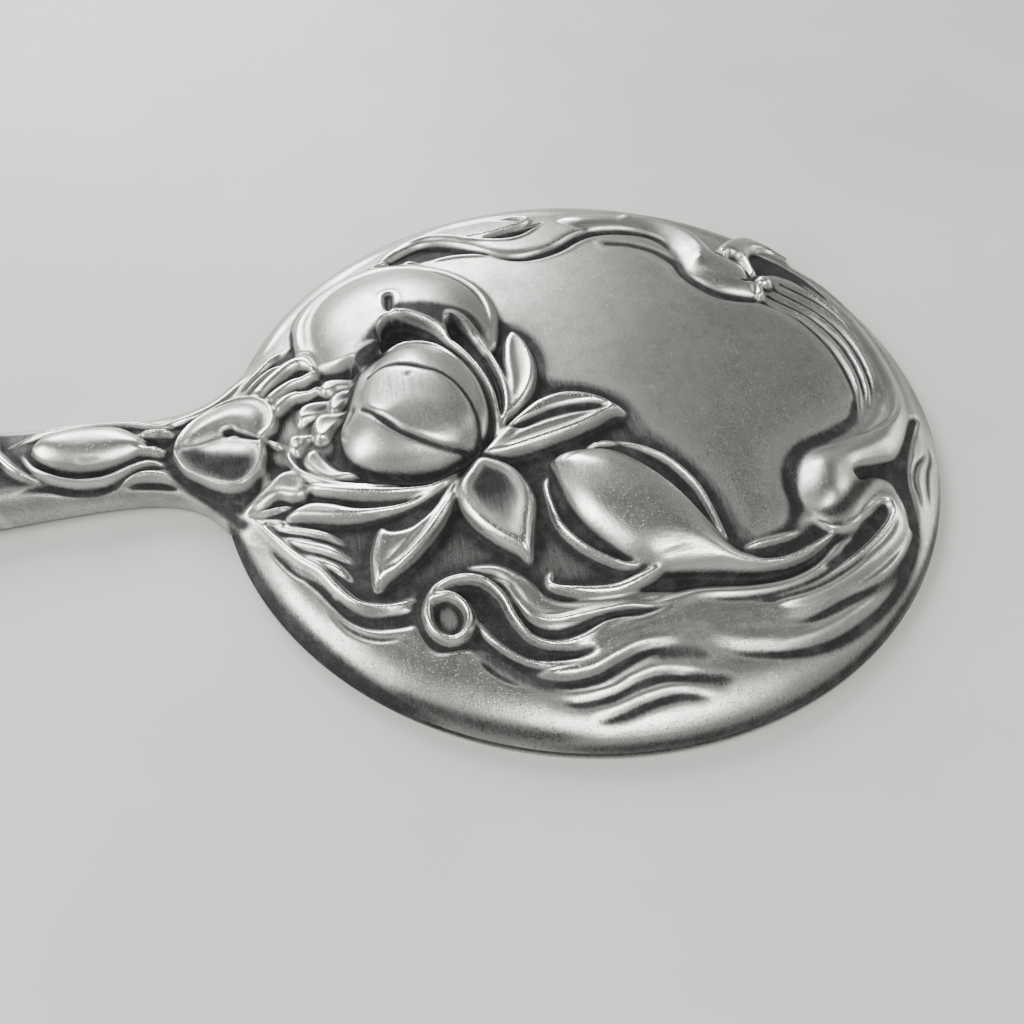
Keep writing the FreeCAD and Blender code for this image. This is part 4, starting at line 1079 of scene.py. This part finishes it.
def front_plate():
    """The plain front: the rim round the glass with its bead, and the shallow front of the handle."""
    ring_points, ring_faces = revolve(rim_profile(), RING_TURNS)
    mouth = NECK_HALF - 0.2
    x, y = handle_points(np.linspace(-mouth, mouth, FRONT_COLUMNS), FRONT_ROWS)
    depth = front_section(x, y)
    # A reeded line runs round the edge of the handle's front.
    inset = half_width(x) - np.abs(y)
    along_tip = np.minimum(inset, (x - TIP_X) * 0.9)
    reeded = x < REEDS_FROM
    depth -= 0.22 * np.exp(-((along_tip - REED_INSET) / 0.35) ** 2) * reeded
    depth += 0.25 * np.exp(-((along_tip - REED_RIDGE_INSET) / 0.5) ** 2) * reeded
    z = SEAM_Z - SEAM_GAP - depth
    index = np.arange(x.size).reshape(x.shape) + len(ring_points)
    points = np.vstack([ring_points, np.column_stack([x.ravel(), y.ravel(), z.ravel()])])
    faces = np.vstack([ring_faces, quads(index)[:, ::-1]])
    obj = add_mesh("front_plate", points, faces.tolist())
    # Painted shade, over some real tarnishing, in the corner of the outer wall under the seam, and heavier
    # all down the side next to the neck.
    along, height = points[:, 0], points[:, 2]
    outer = np.hypot(along, points[:, 1]) > RIM_RADIUS - 1.2
    corner = smooth((height - BEAD) / BEAD) * outer
    neck_side = smooth((-along - 20) / 25) * outer
    on_ring = smooth((along + 67) / 6)
    paint(obj, "tarnish_and_shade", np.clip(0.8 * corner + 0.5 * neck_side, 0, 1) * on_ring)
    return obj


front = front_plate()
for plate, node, slot in ((back, "back_shell", "chased_silver"), (front, "front_shell", "plain_silver")):
    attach(plate, "root")
    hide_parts(node)


# ---- Materials ---------------------------------------------------------------------------------------

class Nodes:
    """A node material, built by naming each node's inputs."""

    def __init__(self, name):
        self.material = bpy.data.materials.new(name)
        self.material.use_nodes = True
        self.tree = self.material.node_tree
        self.shader = self.tree.nodes["Principled BSDF"]

    def add(self, kind, settings=None, **inputs):
        """A node of a kind, with its settings and its inputs by name."""
        node = self.tree.nodes.new(kind)
        for key, value in (settings or {}).items():
            setattr(node, key, value)
        for key, value in inputs.items():
            self.feed(node, key.replace("_", " "), value)
        return node

    def feed(self, node, key, value):
        """Gives an input, named or numbered, a value or a link."""
        socket = node.inputs[int(key)] if key.isdigit() else node.inputs[key]
        if isinstance(value, bpy.types.NodeSocket):
            self.tree.links.new(value, socket)
        else:
            socket.default_value = value

    def math(self, operation, a, b):
        """One step of arithmetic."""
        node = self.tree.nodes.new("ShaderNodeMath")
        node.operation = operation
        self.feed(node, "0", a)
        self.feed(node, "1", b)
        return node.outputs[0]

    def share(self, a, share):
        """A share of a."""
        return self.math("MULTIPLY", a, share)

    def plus(self, a, b, share):
        """Adds a share of b to a."""
        return self.math("ADD", a, self.share(b, share))

    def centred(self, a):
        """Noise moved to lie about zero."""
        return self.math("SUBTRACT", a, 0.5)

    def stored(self, name):
        """A value painted on the mesh."""
        return self.add("ShaderNodeAttribute", {"attribute_name": name}).outputs["Fac"]

    def mix(self, share, a, b):
        """Blends two colours."""
        node = self.tree.nodes.new("ShaderNodeMix")
        node.data_type = "RGBA"
        for index, value in (("0", share), ("6", a), ("7", b)):
            self.feed(node, index, value)
        return node.outputs[2]

    def noise(self, scale, detail=4.0, rough=0.6, stretch=None):
        """Noise from object coordinates, with its features per metre, stretched along an axis if asked."""
        place = self.tree.nodes.new("ShaderNodeTexCoord").outputs["Object"]
        if stretch is not None:
            place = self.add("ShaderNodeMapping", None, Vector=place, Scale=stretch[0],
                             Rotation=stretch[1]).outputs[0]
        return self.add("ShaderNodeTexNoise", None, Vector=place, Scale=scale, Detail=detail,
                        Roughness=rough).outputs["Fac"]

    def ramp(self, value, low, high):
        """0 below low, 1 above high, and a smooth rise between."""
        node = self.add("ShaderNodeMapRange", {"interpolation_type": "SMOOTHSTEP"}, Value=value)
        node.inputs["From Min"].default_value = low
        node.inputs["From Max"].default_value = high
        return node.outputs["Result"]

    def set(self, **inputs):
        """Gives the surface shader its inputs."""
        for key, value in inputs.items():
            self.feed(self.shader, key.replace("_", " "), value)

    def bump(self, height, strength, distance):
        """Fine relief too small for the mesh."""
        node = self.add("ShaderNodeBump", None, Height=height, Strength=strength, Distance=distance)
        self.feed(self.shader, "Normal", node.outputs["Normal"])


SILVER = (0.62, 0.63, 0.58, 1)
SILVER_BRIGHT = (0.9, 0.9, 0.86, 1)
SILVER_DULL = (0.47, 0.48, 0.44, 1)
OXIDE_AND_SHADE = (0.006, 0.007, 0.008, 1)
RUBBED_OXIDE_AND_SHADE = (0.042, 0.044, 0.044, 1)
GRAIN_DEPTH = 0.2 * MM
SCRATCH_DEPTH = 0.06 * MM
CLOUD = (0.3, 0.3, 0.29, 1)
SPECK = (0.2, 0.2, 0.19, 1)
PIT = (0.1, 0.1, 0.1, 1)
NICK = (0.88, 0.89, 0.86, 1)


def silver_material(name, tarnished):
    """Worn silver: satin hairlines, soft patches, nicks, and blue-black oxidised silver where it is sunk, the
    same blue-black also laid where shade is painted.
    """
    m = Nodes(name)
    hairlines = m.noise(2600, 4, 0.7, stretch=((1, 0.05, 1), (0, 0, 0.5)))
    cross_lines = m.noise(3000, 4, 0.7, stretch=((0.05, 1, 1), (0, 0, 0.9)))
    patches = m.noise(45, 6, 0.65)
    specks = m.ramp(m.noise(2100, 3, 0.6), 0.62, 0.70)
    pits = m.ramp(m.noise(3300, 2, 0.5), 0.64, 0.72)
    nicks = m.ramp(m.noise(2600, 1, 0.5, stretch=((1, 0.3, 1), (0, 0, 1.1))), 0.68, 0.74)
    cloud = m.ramp(m.noise(330, 6, 0.7), 0.42, 0.66)
    grain = m.noise(5200, 2, 0.6)
    dull = m.ramp(patches, 0.4, 0.7)
    clean = m.mix(dull, SILVER, SILVER_DULL)
    blemishes = [(cloud, 0.3, CLOUD), (specks, 0.65, SPECK), (pits, 0.85, PIT), (nicks, 0.6, NICK)]
    for mask, share, colour in blemishes:
        clean = m.mix(m.share(mask, share), clean, colour)
    clean = m.mix(m.ramp(grain, 0.3, 0.7), m.mix(0.62, clean, SPECK), clean)
    rough = m.plus(m.plus(0.27, dull, 0.1), hairlines, 0.12)
    if tarnished:
        polish = m.stored("polish")
        clean = m.mix(m.share(polish, 0.8), clean, SILVER_BRIGHT)
        # Grain and brush strokes break up the edge of the blue-black, both the oxidised ground and the
        # painted shade.
        broken = m.plus(m.plus(m.stored("tarnish_and_shade"), m.centred(grain), 0.7), m.centred(hairlines), 0.35)
        oxide_and_shade = m.share(m.ramp(broken, 0.06, 0.86), 0.96)
        rubbed = m.ramp(m.plus(grain, cloud, 0.5), 0.4, 1.2)
        clean = m.mix(oxide_and_shade, clean, m.mix(rubbed, OXIDE_AND_SHADE, RUBBED_OXIDE_AND_SHADE))
        rough = m.plus(m.plus(rough, polish, -0.1), oxide_and_shade, 0.22)
        m.set(Metallic=m.plus(1.0, oxide_and_shade, -0.95), Specular_IOR_Level=0.18)
    else:
        m.set(Metallic=1.0)
    m.set(Base_Color=clean, Roughness=rough)
    height = m.plus(m.share(hairlines, 0.4), cross_lines, 0.3)
    for mask, share in ((m.noise(420, 4, 0.6), 1.0), (grain, 0.6), (pits, -0.8)):
        height = m.plus(height, mask, share)
    m.bump(height, 0.65, SCRATCH_DEPTH)
    return m.material


def plain_material(name, colour, shade, roughness, scale, metallic=0.0, bump=0.2):
    """A one-colour material with mottling and a grain."""
    m = Nodes(name)
    mottle = m.ramp(m.noise(scale, 6, 0.65), 0.3, 0.7)
    m.set(Base_Color=m.mix(mottle, (*colour, 1), (*shade, 1)), Metallic=metallic,
          Roughness=m.plus(roughness, mottle, 0.12))
    m.bump(m.noise(scale * 6, 4, 0.6), bump, GRAIN_DEPTH)
    return m.material


def glass_material():
    """Silvered plate glass: a mirror with the glass's faint green and a few smears."""
    m = Nodes("plate_glass")
    smear = m.ramp(m.noise(60, 6, 0.7), 0.5, 0.8)
    m.set(Base_Color=m.mix(smear, (0.86, 0.91, 0.89, 1), (0.8, 0.85, 0.83, 1)), Metallic=1.0,
          Roughness=m.plus(0.01, smear, 0.06))
    return m.material


def coat_material():
    """The bright coat on the back of the glass, dulled in a few patches."""
    m = Nodes("mirror_coat")
    patches = m.ramp(m.noise(120, 4, 0.6), 0.55, 0.8)
    m.set(Base_Color=(0.92, 0.93, 0.93, 1), Metallic=1.0, Roughness=m.share(patches, 0.05))
    return m.material


MATERIALS = {
    "chased_silver": silver_material("chased_silver", True),
    "plain_silver": silver_material("plain_silver", True),
    "bezel_silver": silver_material("bezel_silver", False),
    "solder": plain_material("solder", (0.5, 0.5, 0.48), (0.33, 0.33, 0.32), 0.45, 300, metallic=0.9),
    "plate_glass": glass_material(),
    "mirror_coat": coat_material(),
    "backing_paint": plain_material("backing_paint", (0.2, 0.055, 0.035), (0.13, 0.035, 0.025), 0.6, 150),
    "felt": plain_material("felt", (0.2, 0.02, 0.03), (0.13, 0.01, 0.02), 0.9, 900, bump=0.5),
    "board": plain_material("board", (0.42, 0.31, 0.18), (0.32, 0.23, 0.13), 0.85, 400, bump=0.4),
    "pitch": plain_material("pitch", (0.03, 0.022, 0.018), (0.05, 0.035, 0.026), 0.4, 200),
    "steel": plain_material("steel", (0.32, 0.32, 0.33), (0.22, 0.2, 0.19), 0.4, 250, metallic=1.0),
}


def wear(obj, slot):
    """Gives an object one material and no other."""
    obj.data.materials.clear()
    obj.data.materials.append(MATERIALS[slot])


slots = {part["node"]: part["material_slot"] for part in frame["record"]["subparts"]}
for node, obj in frame["nodes"].items():
    wear(obj, slots[node])
wear(back, "chased_silver")
wear(front, "plain_silver")


# ---- Floor, lights and camera ------------------------------------------------------------------------

def floor():
    """A plain pale floor under the mirror."""
    size = 1500.0
    corners = [(-size, -size, 0), (size, -size, 0), (size, size, 0), (-size, size, 0)]
    obj = add_mesh("floor", corners, [(0, 1, 2, 3)])
    m = Nodes("floor")
    shade = m.ramp(m.noise(9, 6, 0.6), 0.3, 0.7)
    m.set(Base_Color=m.mix(shade, (0.62, 0.61, 0.59, 1), (0.57, 0.56, 0.54, 1)), Roughness=0.6)
    obj.data.materials.append(m.material)


HORIZON = (0.72, 0.74, 0.74, 1)
OVERHEAD = (0.24, 0.25, 0.24, 1)


def softbox(name, place, aim, width, height, power, colour=(1, 1, 1)):
    """A rectangular light at a place in metres, turned to face a point."""
    light = bpy.data.lights.new(name, "AREA")
    light.shape = "RECTANGLE"
    light.size, light.size_y = width, height
    light.energy = power
    light.color = colour
    obj = bpy.data.objects.new(name, light)
    obj.location = place
    obj.rotation_euler = (Vector(aim) - Vector(place)).to_track_quat("-Z", "Y").to_euler()
    bpy.context.scene.collection.objects.link(obj)


def studio():
    """A soft studio: dim overhead, brighter towards the horizon, with a window behind and to the left."""
    world = bpy.data.worlds.new("studio")
    bpy.context.scene.world = world
    world.use_nodes = True
    tree = world.node_tree
    background = tree.nodes["Background"]
    place = tree.nodes.new("ShaderNodeTexCoord")
    split = tree.nodes.new("ShaderNodeSeparateXYZ")
    height = tree.nodes.new("ShaderNodeMapRange")
    blend = tree.nodes.new("ShaderNodeMix")
    blend.data_type = "RGBA"
    blend.inputs[6].default_value = HORIZON
    blend.inputs[7].default_value = OVERHEAD
    height.inputs["From Min"].default_value = 0.1
    height.inputs["From Max"].default_value = 0.8
    tree.links.new(place.outputs["Generated"], split.inputs[0])
    tree.links.new(split.outputs["Z"], height.inputs["Value"])
    tree.links.new(height.outputs["Result"], blend.inputs[0])
    tree.links.new(blend.outputs[2], background.inputs["Color"])
    background.inputs["Strength"].default_value = 0.5
    softbox("window", (-0.22, 0.85, 0.5), (0, 0, 0), 0.7, 0.4, 8, (0.97, 0.99, 1.0))
    softbox("left", (-0.75, -0.05, 0.4), (0, 0, 0), 0.4, 0.5, 4)
    softbox("right", (0.85, 0.1, 0.35), (0, 0, 0), 0.3, 0.5, 1.3, (1.0, 0.97, 0.94))
    softbox("viewer", (0.1, -0.5, 0.75), (0, 0, 0), 0.6, 0.25, 4.5)


CAMERA_PLACE = (-29.2, -96.3, 106.65)
CAMERA_TILT = 36
CAMERA_TURN = -10
LENS = 27.04
SENSOR = 36.0


def camera():
    """Looks down steeply across the head from the near side, turned a little towards its top."""
    cam = bpy.data.cameras.new("camera")
    cam.sensor_width = SENSOR
    cam.lens = LENS
    obj = bpy.data.objects.new("camera", cam)
    obj.location = [MM * place for place in CAMERA_PLACE]
    obj.rotation_euler = (math.radians(CAMERA_TILT), 0, math.radians(CAMERA_TURN))
    cam.clip_start = 0.01
    bpy.context.scene.collection.objects.link(obj)
    bpy.context.scene.camera = obj


floor()
studio()
camera()
bpy.context.scene.view_settings.view_transform = "Filmic"
bpy.context.scene.view_settings.look = "Medium High Contrast"
